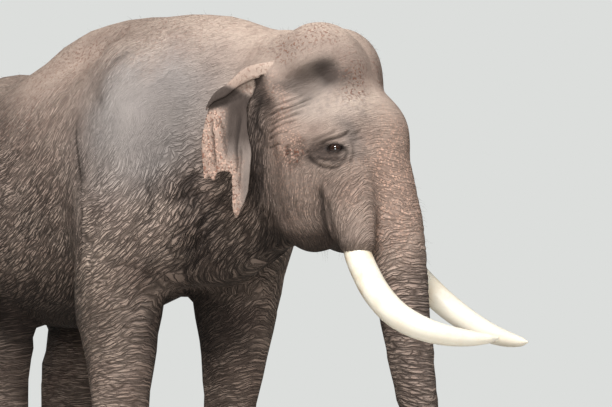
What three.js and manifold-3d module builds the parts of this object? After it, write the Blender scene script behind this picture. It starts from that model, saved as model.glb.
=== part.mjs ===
// A bull Asian elephant standing square with its head turned to its left, at life size.
// Units are millimetres, +Z is up, the body points along +X and its left side is +Y.
// The flesh is one field of signed distance, built from egg-shaped and tapered forms that melt
// into each other. It is meshed region by region and parted with thin flat cuts.
// Ears, tusks, eyes and nails are pieces of their own, set in pockets of the flesh.
import * as THREE from "three";
import Module from "manifold-3d";
import { mergeVertices } from "three/addons/utils/BufferGeometryUtils.js";

const wasm = await Module();
wasm.setup();

// ---------- driving dimensions ----------
const GAP = 0.3; // free space between neighbouring pieces
const SLIVER = 0.2; // a cut's slivers thinner than this are closed up
const FORE_FOOT = { x: 600, y: 325, radius: 216 }; // the right forefoot mirrors the left
const HIND_FOOT = { left: [-760, 205], right: [-675, -205], radius: 185 }; // the left stands further back
const HEAD_AT = [1225, 65]; // where the head turns on the neck, seen from above
const HEAD_TURN = 26; // degrees, to the animal's left
const EYE = { at: [476, 297, 2112], radius: 26 };
const TUSK_SIDES = 9;
const EAR_THICKNESS = 9;
const ELBOW_CUT = { x: 350, z: 1330, rise: 0.2 }; // the plane above the forelegs, rising forward
const STIFLE_CUT = 1235; // heights of the level cuts, above the hind legs and the feet
const WRIST_CUT = 520;
const HOCK_CUT = 460;
const TRUNK_CUTS = [1590, 1230, 850, 430]; // heights of the trunk's cuts, from the face down
const TAIL_CUT = -1312; // where the tail leaves the rump

// ---------- signed distance forms ----------
const smoothUnion = (a, b, k) => {
  const h = Math.max(k - Math.abs(a - b), 0) / k;
  return Math.min(a, b) - (h * h * k) / 4;
};

// An ellipsoid. turn is [roll, pitch, yaw] in degrees.
function egg(at, size, blend, turn = [0, 0, 0]) {
  const [roll, pitch, yaw] = turn.map(THREE.MathUtils.degToRad);
  const m = new THREE.Matrix4().makeRotationFromEuler(new THREE.Euler(roll, pitch, yaw, "ZYX"));
  const [a, b, c, , d, e, f, , g, h, i] = m.elements;
  return {
    blend,
    distance(x, y, z) {
      const px = x - at[0];
      const py = y - at[1];
      const pz = z - at[2];
      const u = (a * px + b * py + c * pz) / size[0];
      const v = (d * px + e * py + f * pz) / size[1];
      const w = (g * px + h * py + i * pz) / size[2];
      const near = Math.sqrt(u * u + v * v + w * w);
      const slope = Math.sqrt((u / size[0]) ** 2 + (v / size[1]) ** 2 + (w / size[2]) ** 2);
      return slope > 0 ? (near * (near - 1)) / slope : -Math.min(...size);
    },
  };
}

// A limb that tapers from radius ra at a to rb at b. flat squeezes it across, along Y.
function limb(a, b, ra, rb, blend, flat = 1) {
  const axis = [b[0] - a[0], (b[1] - a[1]) / flat, b[2] - a[2]];
  const long = axis[0] ** 2 + axis[1] ** 2 + axis[2] ** 2;
  return {
    blend,
    distance(x, y, z) {
      const px = x - a[0];
      const py = (y - a[1]) / flat;
      const pz = z - a[2];
      const t = Math.min(1, Math.max(0, (px * axis[0] + py * axis[1] + pz * axis[2]) / long));
      const off = Math.sqrt((px - t * axis[0]) ** 2 + (py - t * axis[1]) ** 2 + (pz - t * axis[2]) ** 2);
      return (off - ra - t * (rb - ra)) * Math.min(1, flat);
    },
  };
}

// A smooth tube through stations of [x, y, z, radius].
function tube(stations, blend) {
  const path = new THREE.CatmullRomCurve3(stations.map(([x, y, z]) => new THREE.Vector3(x, y, z)));
  const width = new THREE.SplineCurve(stations.map((s, i) => new THREE.Vector2(i, s[3])));
  const count = 3 * (stations.length - 1);
  const at = (t) => path.getPoint(t).toArray();
  const radius = (t) => width.getPoint(t).y;
  const limbs = Array.from({ length: count }, (_, i) => {
    const [s, t] = [i / count, (i + 1) / count];
    return limb(at(s), at(t), radius(s), radius(t), 0);
  });
  return {
    blend,
    distance(x, y, z) {
      let d = Infinity;
      for (const piece of limbs) d = Math.min(d, piece.distance(x, y, z));
      return d;
    },
  };
}

// The first form stands alone, each later one melts in over its blend, and a negative blend carves.
const united = ([first, ...rest]) => (x, y, z) => {
  let d = first.distance(x, y, z);
  for (const form of rest) {
    const other = form.distance(x, y, z);
    d = form.blend > 0 ? smoothUnion(d, other, form.blend) : -smoothUnion(-d, other, -form.blend);
  }
  return d;
};

// ---------- the torso: the same on both sides ----------
const torsoForms = [
  egg([-40, 0, 1955], [900, 580, 612], 1), // rib cage
  egg([-400, 0, 1800], [640, 560, 500], 200), // belly
  tube([ // spine
    [960, 0, 2560, 190], [600, 0, 2632, 192], [330, 0, 2670, 184], [40, 0, 2665, 182], [-190, 0, 2615, 180],
    [-400, 0, 2490, 180], [-640, 0, 2440, 185], [-950, 0, 2425, 205],
  ], 190),
  egg([-850, 0, 2120], [420, 400, 495], 200), // pelvis
  egg([-800, 245, 2380], [230, 140, 165], 180), // hip bone
  egg([-1010, 180, 1930], [265, 245, 480], 200), // rump
  egg([640, 280, 2150], [290, 190, 540], 230, [0, -16, 0]), // shoulder blade
  egg([730, 270, 1830], [270, 240, 330], 200), // point of the shoulder
  egg([-90, 190, 2330], [520, 235, 270], 220), // loin beside the spine
  egg([760, 0, 1985], [360, 370, 395], 190), // chest
  egg([965, 0, 1715], [225, 170, 160], 130), // brisket
  egg([-10, 0, 1345], [230, 70, 70], 70), // sheath under the belly
];

// ---------- the legs ----------
function foreLegForms(side) {
  const { x, y, radius } = FORE_FOOT;
  return [
    tube([
      [720, side * 340, 1830, 240], [658, side * 352, 1560, 220], [636, side * 350, 1340, 189],
      [620, side * 338, 1130, 160], [606, side * 330, 920, 134], [604, side * y, 740, 130],
      [608, side * y, 600, 139], [602, side * y, 420, 139], [x, side * y, 230, 165],
      [x + 4, side * y, 90, radius - 13], [x + 6, side * y, -30, radius + 6],
    ], 120),
    egg([500, side * 352, 1480], [110, 110, 270], 130, [0, 6, 0]), // elbow
  ];
}

function hindLegForms([x, y]) {
  const side = Math.sign(y);
  const { radius } = HIND_FOOT;
  return [
    egg([-830, side * 310, 1690], [320, 195, 560], 200, [0, -10, 0]), // thigh
    tube([
      [-740, side * 330, 1560, 225], [x + 105, side * 325, 1260, 196], [x + 18, side * 268, 1040, 172],
      [x + 14, side * 230, 830, 140], [x - 28, y, 640, 128], [x - 28, y, 520, 124], [x - 10, y, 370, 128],
      [x, y, 210, 148], [x + 4, y, 80, radius - 9], [x + 6, y, -30, radius + 5],
    ], 140),
    egg([x - 100, y, 620], [60, 60, 120], 90, [0, 8, 0]), // hock
  ];
}

// ---------- neck, head and trunk ----------
const headCos = Math.cos(THREE.MathUtils.degToRad(HEAD_TURN));
const headSin = Math.sin(THREE.MathUtils.degToRad(HEAD_TURN));
// From the head's own frame (forward, to its left, up) to the body's.
const fromHead = ([f, l, z]) => [
  HEAD_AT[0] + f * headCos - l * headSin,
  HEAD_AT[1] + f * headSin + l * headCos,
  z,
];

const neckForms = [
  limb([760, 0, 2180], fromHead([90, 0, 2220]), 440, 335, 200, 0.92),
  limb([850, 0, 2550], fromHead([80, 0, 2500]), 195, 190, 200),
  limb([900, 0, 1900], fromHead([110, 0, 1960]), 300, 260, 160, 0.86), // throat
];

// The forms of the head are the same on both sides, given in its own frame.
const headForms = [
  egg([190, 0, 2290], [330, 315, 370], 1), // skull
  egg([313, 134, 2506], [192, 160, 197], 80), // dome
  egg([352, 0, 2390], [180, 250, 270], 110), // forehead
  egg([523, 0, 2194], [165, 190, 180], 110), // root of the trunk
  limb([230, 262, 2175], [480, 165, 2235], 80, 95, 80), // brow
  egg([340, 225, 2020], [240, 125, 165], 90), // cheek bone
  egg([330, 190, 1900], [200, 150, 238], 90), // jaw
  limb([330, 60, 1810], [490, 15, 1700], 130, 62, 70), // chin
  limb([475, 150, 2020], [568, 258, 1712], 130, 82, 110), // tusk sheath
  egg([330, 320, 2415], [190, 70, 62], -60, [0, -25, 0]), // temple
  egg([100, 278, 2400], [62, 42, 95], 50), // root of the ear
];

// The deep fold behind the cheek, under the ear.
const cheekFold = tube([
  [135, 352, 2400, 40], [125, 358, 2250, 58], [140, 360, 2050, 62], [178, 340, 1800, 55],
], 60);

const trunkForms = [tube([
  [497, 0, 2190, 178], [511, 0, 2105, 182], [557, 0, 1965, 168], [612, 0, 1812, 150], [643, 0, 1672, 136],
  [668, 0, 1511, 123], [690, 0, 1360, 112], [711, 0, 1236, 105], [748, 0, 982, 91], [782, 0, 740, 80],
  [806, 0, 500, 71], [806, 0, 340, 65], [782, 0, 215, 59], [735, 0, 130, 53], [668, 0, 105, 47],
], 40)];

const tailForms = [tube([
  [-1150, 0, 2400, 110], [-1265, 0, 2320, 90], [-1350, 0, 2180, 66], [-1385, 0, 1980, 50],
  [-1395, 0, 1700, 40], [-1398, 0, 1350, 33], [-1400, 0, 1060, 29],
], 50)];

// ---------- the whole of the flesh ----------
const torso = united(torsoForms);
const legFields = [
  foreLegForms(1), foreLegForms(-1), hindLegForms(HIND_FOOT.left), hindLegForms(HIND_FOOT.right),
].map(united);
const neck = united(neckForms);
const head = united(headForms);
const trunk = united(trunkForms);
const tail = united(tailForms);

function flesh(x, y, z) {
  const f = (x - HEAD_AT[0]) * headCos + (y - HEAD_AT[1]) * headSin;
  const l = (y - HEAD_AT[1]) * headCos - (x - HEAD_AT[0]) * headSin;
  let d = torso(x, Math.abs(y), z);
  for (const leg of legFields) d = smoothUnion(d, leg(x, y, z), 90);
  d = smoothUnion(d, tail(x, y, z), 60);
  const skull = smoothUnion(head(f, Math.abs(l), z), trunk(f, l, z), 60);
  d = smoothUnion(smoothUnion(d, neck(x, y, z), 200), skull, 70);
  return -smoothUnion(-d, cheekFold.distance(f, Math.abs(l), z), cheekFold.blend);
}

// ---------- meshing ----------
const apart = (p, q) => (p[0] - q[0]) ** 2 + (p[1] - q[1]) ** 2 + (p[2] - q[2]) ** 2;

// Meshes the zero surface of a field inside a box, one vertex for each cell that it crosses.
function surfaceOf(field, low, high, cell) {
  const count = [0, 1, 2].map((i) => Math.ceil((high[i] - low[i]) / cell[i]) + 1);
  const index = (i, j, k) => i + count[0] * (j + count[1] * k);
  const place = (i, n) => low[n] + i * cell[n];
  const value = new Float64Array(count[0] * count[1] * count[2]);
  for (let k = 0; k < count[2]; k++)
    for (let j = 0; j < count[1]; j++)
      for (let i = 0; i < count[0]; i++) {
        const edge = [i, j, k].some((n, axis) => n === 0 || n === count[axis] - 1);
        const d = field(place(i, 0), place(j, 1), place(k, 2));
        value[index(i, j, k)] = edge ? Math.max(d, 1) : d;
      }
  const points = [];
  const vertexOf = new Map();
  const inside = (i, j, k) => value[index(i, j, k)] < 0;
  for (let k = 0; k < count[2] - 1; k++)
    for (let j = 0; j < count[1] - 1; j++)
      for (let i = 0; i < count[0] - 1; i++) {
        const sum = [0, 0, 0];
        let crossings = 0;
        for (let axis = 0; axis < 3; axis++)
          for (let side = 0; side < 4; side++) {
            const start = [i, j, k];
            start[(axis + 1) % 3] += side & 1;
            start[(axis + 2) % 3] += side >> 1;
            const end = [...start];
            end[axis] += 1;
            const [a, b] = [value[index(...start)], value[index(...end)]];
            if (a < 0 === b < 0) continue;
            crossings += 1;
            start.forEach((n, m) => { sum[m] += place(n + (m === axis ? a / (a - b) : 0), m); });
          }
        if (!crossings) continue;
        vertexOf.set(index(i, j, k), points.length);
        points.push(onto(field, sum.map((s) => s / crossings)));
      }
  const faces = [];
  for (const key of vertexOf.keys()) {
    const i = key % count[0];
    const j = Math.floor(key / count[0]) % count[1];
    const k = Math.floor(key / count[0] / count[1]);
    for (let axis = 0; axis < 3; axis++) {
      const [next, last] = [(axis + 1) % 3, (axis + 2) % 3];
      const at = [i, j, k];
      if (at[next] === 0 || at[last] === 0) continue;
      const end = [...at];
      end[axis] += 1;
      if (inside(...at) === inside(...end)) continue;
      const quad = [[0, 0], [1, 0], [1, 1], [0, 1]].map(([p, q]) => {
        const c = [...at];
        c[next] -= p;
        c[last] -= q;
        return vertexOf.get(index(...c));
      });
      if (!inside(...at)) quad.reverse();
      // split each four along its shorter diagonal
      const [one, two, three, four] = quad.map((n) => points[n]);
      if (apart(one, three) > apart(two, four)) quad.push(quad.shift());
      faces.push(quad[0], quad[1], quad[2], quad[0], quad[2], quad[3]);
    }
  }
  return new wasm.Manifold(new wasm.Mesh({
    numProp: 3,
    vertProperties: new Float32Array(points.flat()),
    triVerts: new Uint32Array(faces),
  }));
}

// Moves a point onto the zero surface along the field's slope.
function onto(field, p) {
  const step = 2;
  for (let round = 0; round < 3; round++) {
    const d = field(...p);
    const slope = p.map((_, i) => {
      const q = [...p];
      q[i] += step;
      return (field(...q) - d) / step;
    });
    const steep = Math.max(slope[0] ** 2 + slope[1] ** 2 + slope[2] ** 2, 0.25);
    p = p.map((v, i) => v - THREE.MathUtils.clamp((d * slope[i]) / steep, -20, 20));
  }
  return p;
}

// The part of a solid ahead of a plane, clear of it by half the gap.
const ahead = (solid, { point, normal }) => {
  const n = new THREE.Vector3(...normal).normalize();
  return solid.trimByPlane(n.toArray(), n.dot(new THREE.Vector3(...point)) + GAP / 2);
};
const behind = (solid, { point, normal }) => ahead(solid, { point, normal: normal.map((v) => -v) });
const between = (solid, top, bottom) => ahead(behind(solid, level(top)), level(bottom));
const largest = (solid) => solid.decompose().sort((a, b) => b.volume() - a.volume())[0];

// ---------- the pieces ----------
const group = new THREE.Group();
function addPiece(name, solid, material) {
  const mesh = solid.simplify(SLIVER).getMesh();
  const geometry = new THREE.BufferGeometry();
  geometry.setAttribute("position", new THREE.BufferAttribute(mesh.vertProperties, 3));
  geometry.setIndex(new THREE.BufferAttribute(mesh.triVerts, 1));
  geometry.computeVertexNormals();
  const piece = new THREE.Mesh(geometry, material);
  piece.name = name;
  group.add(piece);
}
const look = (color, roughness) => new THREE.MeshStandardMaterial({ color, roughness, metalness: 0 });
const hide = look(0x87756b, 0.9); // dusty grey-brown skin
const legHide = look(0x7c6a60, 0.9);
const faceHide = look(0x9a8479, 0.88); // paler and pinker
const earHide = look(0x9f8a80, 0.85);
const ivory = look(0xf1ece2, 0.35);
const nailHorn = look(0x9a8f80, 0.6);
const eyeball = look(0x3a2418, 0.1);

// A closed solid from a three.js geometry.
function solidOf(geometry) {
  const merged = mergeVertices(new THREE.BufferGeometry()
    .setAttribute("position", geometry.attributes.position).setIndex(geometry.index), 1e-4);
  return new wasm.Manifold(new wasm.Mesh({
    numProp: 3,
    vertProperties: new Float32Array(merged.attributes.position.array),
    triVerts: new Uint32Array(merged.index.array),
  }));
}

// A closed skin over rings of points, each end drawn to its own middle. Rings run anticlockwise
// about the way from the first to the last.
function skinOver(rings) {
  const sides = rings[0].length;
  const points = rings.flat();
  const middle = (ring) => ring.reduce((sum, p) => sum.map((v, i) => v + p[i] / sides), [0, 0, 0]);
  const first = points.push(middle(rings[0])) - 1;
  const last = points.push(middle(rings.at(-1))) - 1;
  const faces = [];
  for (let side = 0; side < sides; side++) {
    const next = (side + 1) % sides;
    for (let ring = 0; ring < rings.length - 1; ring++) {
      const [a, b] = [ring * sides + side, ring * sides + next];
      faces.push(a, b, b + sides, a, b + sides, a + sides);
    }
    faces.push(first, next, side);
    faces.push(last, (rings.length - 1) * sides + side, (rings.length - 1) * sides + next);
  }
  return new wasm.Manifold(new wasm.Mesh({
    numProp: 3,
    vertProperties: new Float32Array(points.flat()),
    triVerts: new Uint32Array(faces),
  }));
}

// ---------- tusks ----------
// Stations from inside the sheath to the tip: [forward, out, up, radius]. The left tip hangs lower.
const tuskStations = [
  [546, 232, 1765, 58], [565, 258, 1662, 60], [625, 304, 1562, 61], [700, 350, 1472, 61],
  [785, 374, 1396, 59], [880, 368, 1342, 54], [985, 332, 1306, 46], [1085, 280, 1290, 35],
  [1160, 234, 1288, 21], [1197, 208, 1291, 5],
];
function tuskSolid(side, grow) {
  const drop = side > 0 ? 32 : 0;
  const stations = tuskStations.map(([f, l, z, r]) => {
    const lower = drop * Math.max(0, (f - 800) / 400);
    return [...fromHead([f, side * l, z - lower]), r];
  });
  const path = new THREE.CatmullRomCurve3(stations.map(([x, y, z]) => new THREE.Vector3(x, y, z)));
  const rings = stations.map((station, i) => {
    const along = path.getTangent(i / (stations.length - 1));
    const across = new THREE.Vector3(0, 0, 1).cross(along).normalize();
    const up = along.clone().cross(across);
    return Array.from({ length: TUSK_SIDES }, (_, n) => {
      const turn = (2 * Math.PI * n) / TUSK_SIDES;
      return new THREE.Vector3(...station)
        .addScaledVector(along, i === 0 ? -grow : 0)
        .addScaledVector(across, Math.cos(turn) * (station[3] + grow))
        .addScaledVector(up, Math.sin(turn) * (station[3] + grow)).toArray();
    });
  });
  return skinOver(rings);
}

// ---------- eyes ----------
const eyeSolid = (side, grow) => {
  const [x, y, z] = fromHead([EYE.at[0], side * EYE.at[1], EYE.at[2]]);
  return solidOf(new THREE.SphereGeometry(EYE.radius + grow, 9, 6).rotateX(Math.PI / 2)).translate(x, y, z);
};

// ---------- nails ----------
// Half-sunk plates round the front of a foot, widest ahead: [degrees from straight ahead, half width].
const foreNails = [[-78, 34], [-40, 41], [0, 45], [40, 41], [78, 34]];
const hindNails = [[-57, 33], [-19, 39], [19, 39], [57, 33]];
const nailSolid = ([x, y], radius, [degrees, half], grow) => {
  const turn = THREE.MathUtils.degToRad(degrees);
  const nail = new THREE.CylinderGeometry(0.75, 1, 2, 6).rotateZ(-Math.PI / 2)
    .scale(12 + grow, half + grow, 44 + grow).rotateY(-0.28).translate(radius - 1, 0, 50);
  return solidOf(nail.rotateZ(turn).translate(x, y, 0));
};

// ---------- ears ----------
// Lines of an ear from front to back: [forward, out, up] in the head's frame.
const EAR_COLUMNS = 11;
const EAR_OUT = new THREE.Vector3(-0.3, 0.95, 0).normalize(); // the way its outer face looks
const earRim = [
  [135, 285, 2478], [100, 315, 2490], [50, 355, 2462], [0, 395, 2415], [-48, 428, 2372], [-82, 442, 2318],
];
const earUpper = [[46, 352, 2306], [14, 384, 2288], [-38, 420, 2255], [-92, 445, 2242]];
const earMiddle = [[104, 380, 2105], [60, 392, 2112], [0, 412, 2120], [-60, 436, 2124], [-107, 450, 2126]];
// The right ear's hem is torn, with a strip of skin that hangs from it.
const tornHem = [
  [73, 400, 1886], [52, 404, 1958], [38, 412, 1821], [27, 418, 2015], [-5, 424, 2022], [-36, 430, 2013],
  [-54, 435, 1980], [-75, 438, 1998], [-94, 441, 1985], [-101, 447, 2057],
];
const wholeHem = [
  [76, 399, 1878], [58, 404, 1846], [40, 410, 1838], [22, 416, 1845], [-5, 424, 1872], [-36, 430, 1918],
  [-58, 436, 1925], [-78, 440, 1962], [-94, 443, 1985], [-104, 447, 2050],
];
// A sheet with its upper rim rolled outward and down, laid column by column from front to back.
function earSolid(side) {
  const curve = (points) => new THREE.CatmullRomCurve3(points);
  const [rim, upper, middle] = [earRim, earUpper, earMiddle]
    .map((line) => curve(line.map((p) => new THREE.Vector3(...p))));
  const hem = side < 0 ? tornHem : wholeHem;
  const rings = Array.from({ length: EAR_COLUMNS }, (_, i) => {
    const t = i / (EAR_COLUMNS - 1);
    const swell = Math.sin(Math.PI * (0.25 + 0.75 * t)); // the roll is fullest ahead of its middle
    const roll = 9 + 15 * swell;
    const axis = rim.getPoint(t).setZ(rim.getPoint(t).z - roll);
    const step = Math.min(hem.length - 1.001, t * (hem.length - 1));
    const [a, b] = hem.slice(Math.floor(step), Math.floor(step) + 2).map((p) => new THREE.Vector3(...p));
    const place = (out, up) => axis.clone().addScaledVector(EAR_OUT, out).add(new THREE.Vector3(0, 0, up));
    const fall = curve([place(-roll, -8), upper.getPoint(t), middle.getPoint(t), a.lerp(b, step % 1)]);
    // each point of the sheet with the way its upper face looks there, [out, up]
    const sheet = [
      [place(roll, -14 - 34 * swell), [1, 0]], [place(roll, -8), [1, 0.15]],
      [place(roll * 0.72, roll * 0.7), [0.72, 0.7]], [place(0, roll), [0, 1]],
      [place(-roll * 0.72, roll * 0.7), [-0.72, 0.7]],
      ...[0, 0.25, 0.5, 0.75, 1].map((s) => [fall.getPoint(s), [-1, 0]]),
    ];
    const face = (way) => sheet.map(([p, [out, up]]) => {
      const half = (way * EAR_THICKNESS) / 2;
      return p.clone().addScaledVector(EAR_OUT, half * out).add(new THREE.Vector3(0, 0, half * up));
    });
    return [...face(1), ...face(-1).reverse()].map((p) => fromHead([p.x, side * p.y, p.z]));
  });
  return skinOver(side < 0 ? rings : rings.map((ring) => ring.reverse()));
}

// ---------- parting the flesh ----------
const neckFront = { point: fromHead([10, 0, 2160]), normal: [headCos, headSin, 0.242] };
const neckBack = { point: [1010, 0, 2000], normal: [1, 0.12, 0.2] };
const elbow = { point: [ELBOW_CUT.x, 0, ELBOW_CUT.z], normal: [-ELBOW_CUT.rise, 0, 1] };
const level = (z) => ({ point: [0, 0, z], normal: [0, 0, 1] });
const rump = { point: [TAIL_CUT, 0, 0], normal: [1, 0, 0] };
const words = { 1: "left", "-1": "right" };

let body = surfaceOf(flesh, [-1510, -819, 960], [1500, 819, 3020], [166, 130, 144]);
body = ahead(ahead(ahead(behind(body, neckBack), level(STIFLE_CUT)), elbow), rump);
addPiece("body", body, hide);

const neckBox = [[680, -700, 1220], [1800, 800, 3020], [120, 115, 118]];
addPiece("neck", ahead(behind(ahead(surfaceOf(flesh, ...neckBox), neckBack), neckFront), elbow), hide);

const headBox = [[865, -560, 1460], [2150, 960, 2900], [71, 73, 74]];
let headPiece = ahead(ahead(surfaceOf(flesh, ...headBox), neckFront), level(TRUNK_CUTS[0]));
const swollen = (x, y, z) => flesh(x, y, z) - 4 * GAP;
const earRoom = surfaceOf(swollen, ...headBox).add(surfaceOf(swollen, ...neckBox));
for (const side of [1, -1]) {
  headPiece = headPiece.subtract(tuskSolid(side, GAP)).subtract(eyeSolid(side, GAP));
  addPiece(`tusk_${words[side]}`, tuskSolid(side, 0), ivory);
  addPiece(`eye_${words[side]}`, eyeSolid(side, 0), eyeball);
  addPiece(`ear_${words[side]}`, largest(earSolid(side).subtract(earRoom)), earHide);
}
addPiece("head", headPiece, faceHide);

const trunkMesh = surfaceOf(flesh, [1500, 120, 300], [2250, 700, 1760], [58, 58, 96]);
["trunk_upper", "trunk_middle", "trunk_lower"].forEach((name, i) =>
  addPiece(name, between(trunkMesh, TRUNK_CUTS[i], TRUNK_CUTS[i + 1]), faceHide));
const tipMesh = surfaceOf(flesh, [1650, 200, 0], [2150, 620, 560], [34, 34, 46]);
addPiece("trunk_tip", behind(tipMesh, level(TRUNK_CUTS[3])), faceHide);

const tailMesh = surfaceOf(flesh, [-1500, -135, 900], [-1200, 135, 2600], [30, 30, 150]);
addPiece("tail", behind(tailMesh, rump), hide);

// A leg and its foot with its nails, from a box of flesh round them.
function addLeg(name, box, top, ankle, at, radius, nails) {
  const leg = behind(surfaceOf(flesh, ...box), top);
  let foot = between(leg, ankle, -GAP / 2);
  nails.forEach((nail, i) => {
    foot = foot.subtract(nailSolid(at, radius, nail, GAP));
    addPiece(`${name.replace("_", "_nail_")}_${i + 1}`, nailSolid(at, radius, nail, 0), nailHorn);
  });
  addPiece(name.replace("_", "_leg_"), ahead(leg, level(ankle)), legHide);
  addPiece(name.replace("_", "_foot_"), foot, legHide);
}
for (const side of [1, -1]) {
  const { x, y, radius } = FORE_FOOT;
  const [inner, outer] = side > 0 ? [10, 690] : [-690, -10];
  const foreBox = [[x - 340, inner, -110], [x + 420, outer, 1690], [98, 92, 162]];
  addLeg(`fore_${words[side]}`, foreBox, elbow, WRIST_CUT, [x, side * y], radius, foreNails);
  const at = HIND_FOOT[words[side]];
  const hindBox = [[at[0] - 340, inner, -110], [at[0] + 440, outer, 1480], [98, 92, 150]];
  addLeg(`hind_${words[side]}`, hindBox, level(STIFLE_CUT), HOCK_CUT, at, HIND_FOOT.radius, hindNails);
}

// The part's origin is on the floor, under the middle of the animal's whole box.
const middle = new THREE.Box3().setFromObject(group).getCenter(new THREE.Vector3());
group.position.set(-middle.x, -middle.y, 0);

export default group;
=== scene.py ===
# A bull Asian elephant, life size: one skin over the flesh, two ears, tusks, eyes, nails and sparse hair.
import math
import time

import bpy
import numpy as np
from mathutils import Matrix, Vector


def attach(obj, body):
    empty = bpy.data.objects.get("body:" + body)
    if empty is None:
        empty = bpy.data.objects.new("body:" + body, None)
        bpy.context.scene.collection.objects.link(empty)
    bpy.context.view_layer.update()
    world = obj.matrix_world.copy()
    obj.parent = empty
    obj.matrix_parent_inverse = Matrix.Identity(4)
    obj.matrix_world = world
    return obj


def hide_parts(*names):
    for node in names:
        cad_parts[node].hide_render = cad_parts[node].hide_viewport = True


started = time.time()


def tell(stage):
    print(f"{stage}: {time.time() - started:.0f} s")


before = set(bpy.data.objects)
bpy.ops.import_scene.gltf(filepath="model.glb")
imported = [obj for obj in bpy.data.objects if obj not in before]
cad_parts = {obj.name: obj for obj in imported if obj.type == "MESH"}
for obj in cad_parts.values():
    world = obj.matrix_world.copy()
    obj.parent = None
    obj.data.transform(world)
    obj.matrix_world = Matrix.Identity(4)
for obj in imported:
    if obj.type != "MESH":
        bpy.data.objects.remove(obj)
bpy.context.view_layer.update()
tell("frame loaded")

# where the head turns on the neck, in the body's own millimetres
head = {"at": (1225, 65), "turn": 26, "eye": (476, 297, 2112), "eyeRadius": 26}
turn = math.radians(head["turn"])
headWays = np.array([[math.cos(turn), math.sin(turn), 0], [-math.sin(turn), math.cos(turn), 0], [0, 0, 1]])
headAt = np.array([*head["at"], 0.0])


def fromHead(p):
    return np.asarray(p, float) @ headWays + headAt


def toHead(p):
    return (p - headAt) @ headWays.T


# the left eye's own middle ties the body's millimetres to the frame's metres
eyeMiddle = np.mean([v.co[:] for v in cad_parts["eye_left"].data.vertices], axis=0)
origin = eyeMiddle - fromHead(head["eye"]) / 1000


def toRow(p):
    return np.asarray(p, float) / 1000 + origin


def toBody(p):
    return (np.asarray(p, float) - origin) * 1000


def ramp(x, low, high):
    t = np.clip((x - low) / (high - low), 0, 1)
    return t * t * (3 - 2 * t)


# the flesh as signed distance, in millimetres
def softMin(a, b, k):
    h = np.maximum(k - np.abs(a - b), 0) / k
    return np.minimum(a, b) - h * h * k / 4


def egg(at, size, blend, pitch=0):
    c, s = math.cos(math.radians(pitch)), math.sin(math.radians(pitch))
    ways = np.array([[c, 0, s], [0, 1, 0], [-s, 0, c]])
    at, size = np.array(at, float), np.array(size, float)

    def distance(p):
        q = ((p - at) @ ways) / size
        near = np.sqrt((q * q).sum(1))
        slope = np.sqrt(((q / size) ** 2).sum(1)) + 1e-9
        return near * (near - 1) / slope

    return blend, distance


def limb(a, b, ra, rb, blend, flat=1):
    squash = np.array([1, 1 / flat, 1])
    a, b = np.array(a, float), np.array(b, float)
    axis = (b - a) * squash

    def distance(p):
        q = (p - a) * squash
        t = np.clip(q @ axis / (axis @ axis), 0, 1)
        q = q - t[:, None] * axis
        return (np.sqrt((q * q).sum(1)) - ra - t * (rb - ra)) * min(1, flat)

    return blend, distance


def curvePoint(points, t):
    # a centripetal Catmull-Rom curve through the points
    points = np.asarray(points, float)
    at = t * (len(points) - 1)
    i = min(int(at), len(points) - 2)
    w = at - i
    b, c = points[i], points[i + 1]
    a = points[i - 1] if i > 0 else 2 * b - c
    d = points[i + 2] if i + 2 < len(points) else 2 * c - b
    t0, t1, t2 = [max(np.linalg.norm(q - p), 1e-6) ** 0.5 for p, q in ((a, b), (b, c), (c, d))]
    m0 = ((b - a) / t0 - (c - a) / (t0 + t1) + (c - b) / t1) * t1
    m1 = ((c - b) / t1 - (d - b) / (t1 + t2) + (d - c) / t2) * t1
    return b + m0 * w + (3 * (c - b) - 2 * m0 - m1) * w ** 2 + (2 * (b - c) + m0 + m1) * w ** 3


def smoothValue(values, t):
    at = t * (len(values) - 1)
    i = min(int(at), len(values) - 2)
    w = at - i
    b, c = values[i], values[i + 1]
    a = values[max(i - 1, 0)]
    d = values[min(i + 2, len(values) - 1)]
    v0, v1 = (c - a) / 2, (d - b) / 2
    return b + v0 * w + (3 * (c - b) - 2 * v0 - v1) * w ** 2 + (2 * (b - c) + v0 + v1) * w ** 3


def tube(stations, blend):
    stations = np.array(stations, float)
    count = 3 * (len(stations) - 1)
    steps = [i / count for i in range(count + 1)]
    ends = [(curvePoint(stations[:, :3], at), smoothValue(stations[:, 3], at)) for at in steps]
    limbs = [limb(p, q, r, s, 0)[1] for (p, r), (q, s) in zip(ends, ends[1:])]

    def distance(p):
        d = limbs[0](p)
        for piece in limbs[1:]:
            np.minimum(d, piece(p), out=d)
        return d

    return blend, distance


# forms melt into each other, and are only worked out inside their own box
def united(forms, low, high):
    def distance(p):
        d = np.full(len(p), 450.0)
        near = ((p > low) & (p < high)).all(1)
        q = p[near]
        if len(q):
            e = forms[0][1](q)
            for blend, form in forms[1:]:
                e = softMin(e, form(q), blend) if blend > 0 else -softMin(-e, form(q), -blend)
            d[near] = e
        return d

    return distance


# the same forms and sizes as the solids
torso = united([
    egg((-40, 0, 1955), (900, 580, 612), 1),
    egg((-400, 0, 1800), (640, 560, 500), 200),
    tube([
        (960, 0, 2560, 190), (600, 0, 2632, 192), (330, 0, 2670, 184), (40, 0, 2665, 182),
        (-190, 0, 2615, 180),
        (-400, 0, 2490, 180), (-640, 0, 2440, 185), (-950, 0, 2425, 205),
    ], 190),
    egg((-850, 0, 2120), (420, 400, 495), 200),
    egg((-800, 245, 2380), (230, 140, 165), 180),
    egg((-1010, 180, 1930), (265, 245, 480), 200),
    egg((640, 280, 2150), (290, 190, 540), 230, -16),
    egg((730, 270, 1830), (270, 240, 330), 200),
    egg((-90, 190, 2330), (520, 235, 270), 220),
    egg((760, 0, 1985), (360, 370, 395), 190),
    egg((965, 0, 1715), (225, 170, 160), 130),
    egg((-10, 0, 1345), (230, 70, 70), 70),
], (-1700, -100, 900), (1650, 1100, 3300))


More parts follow.
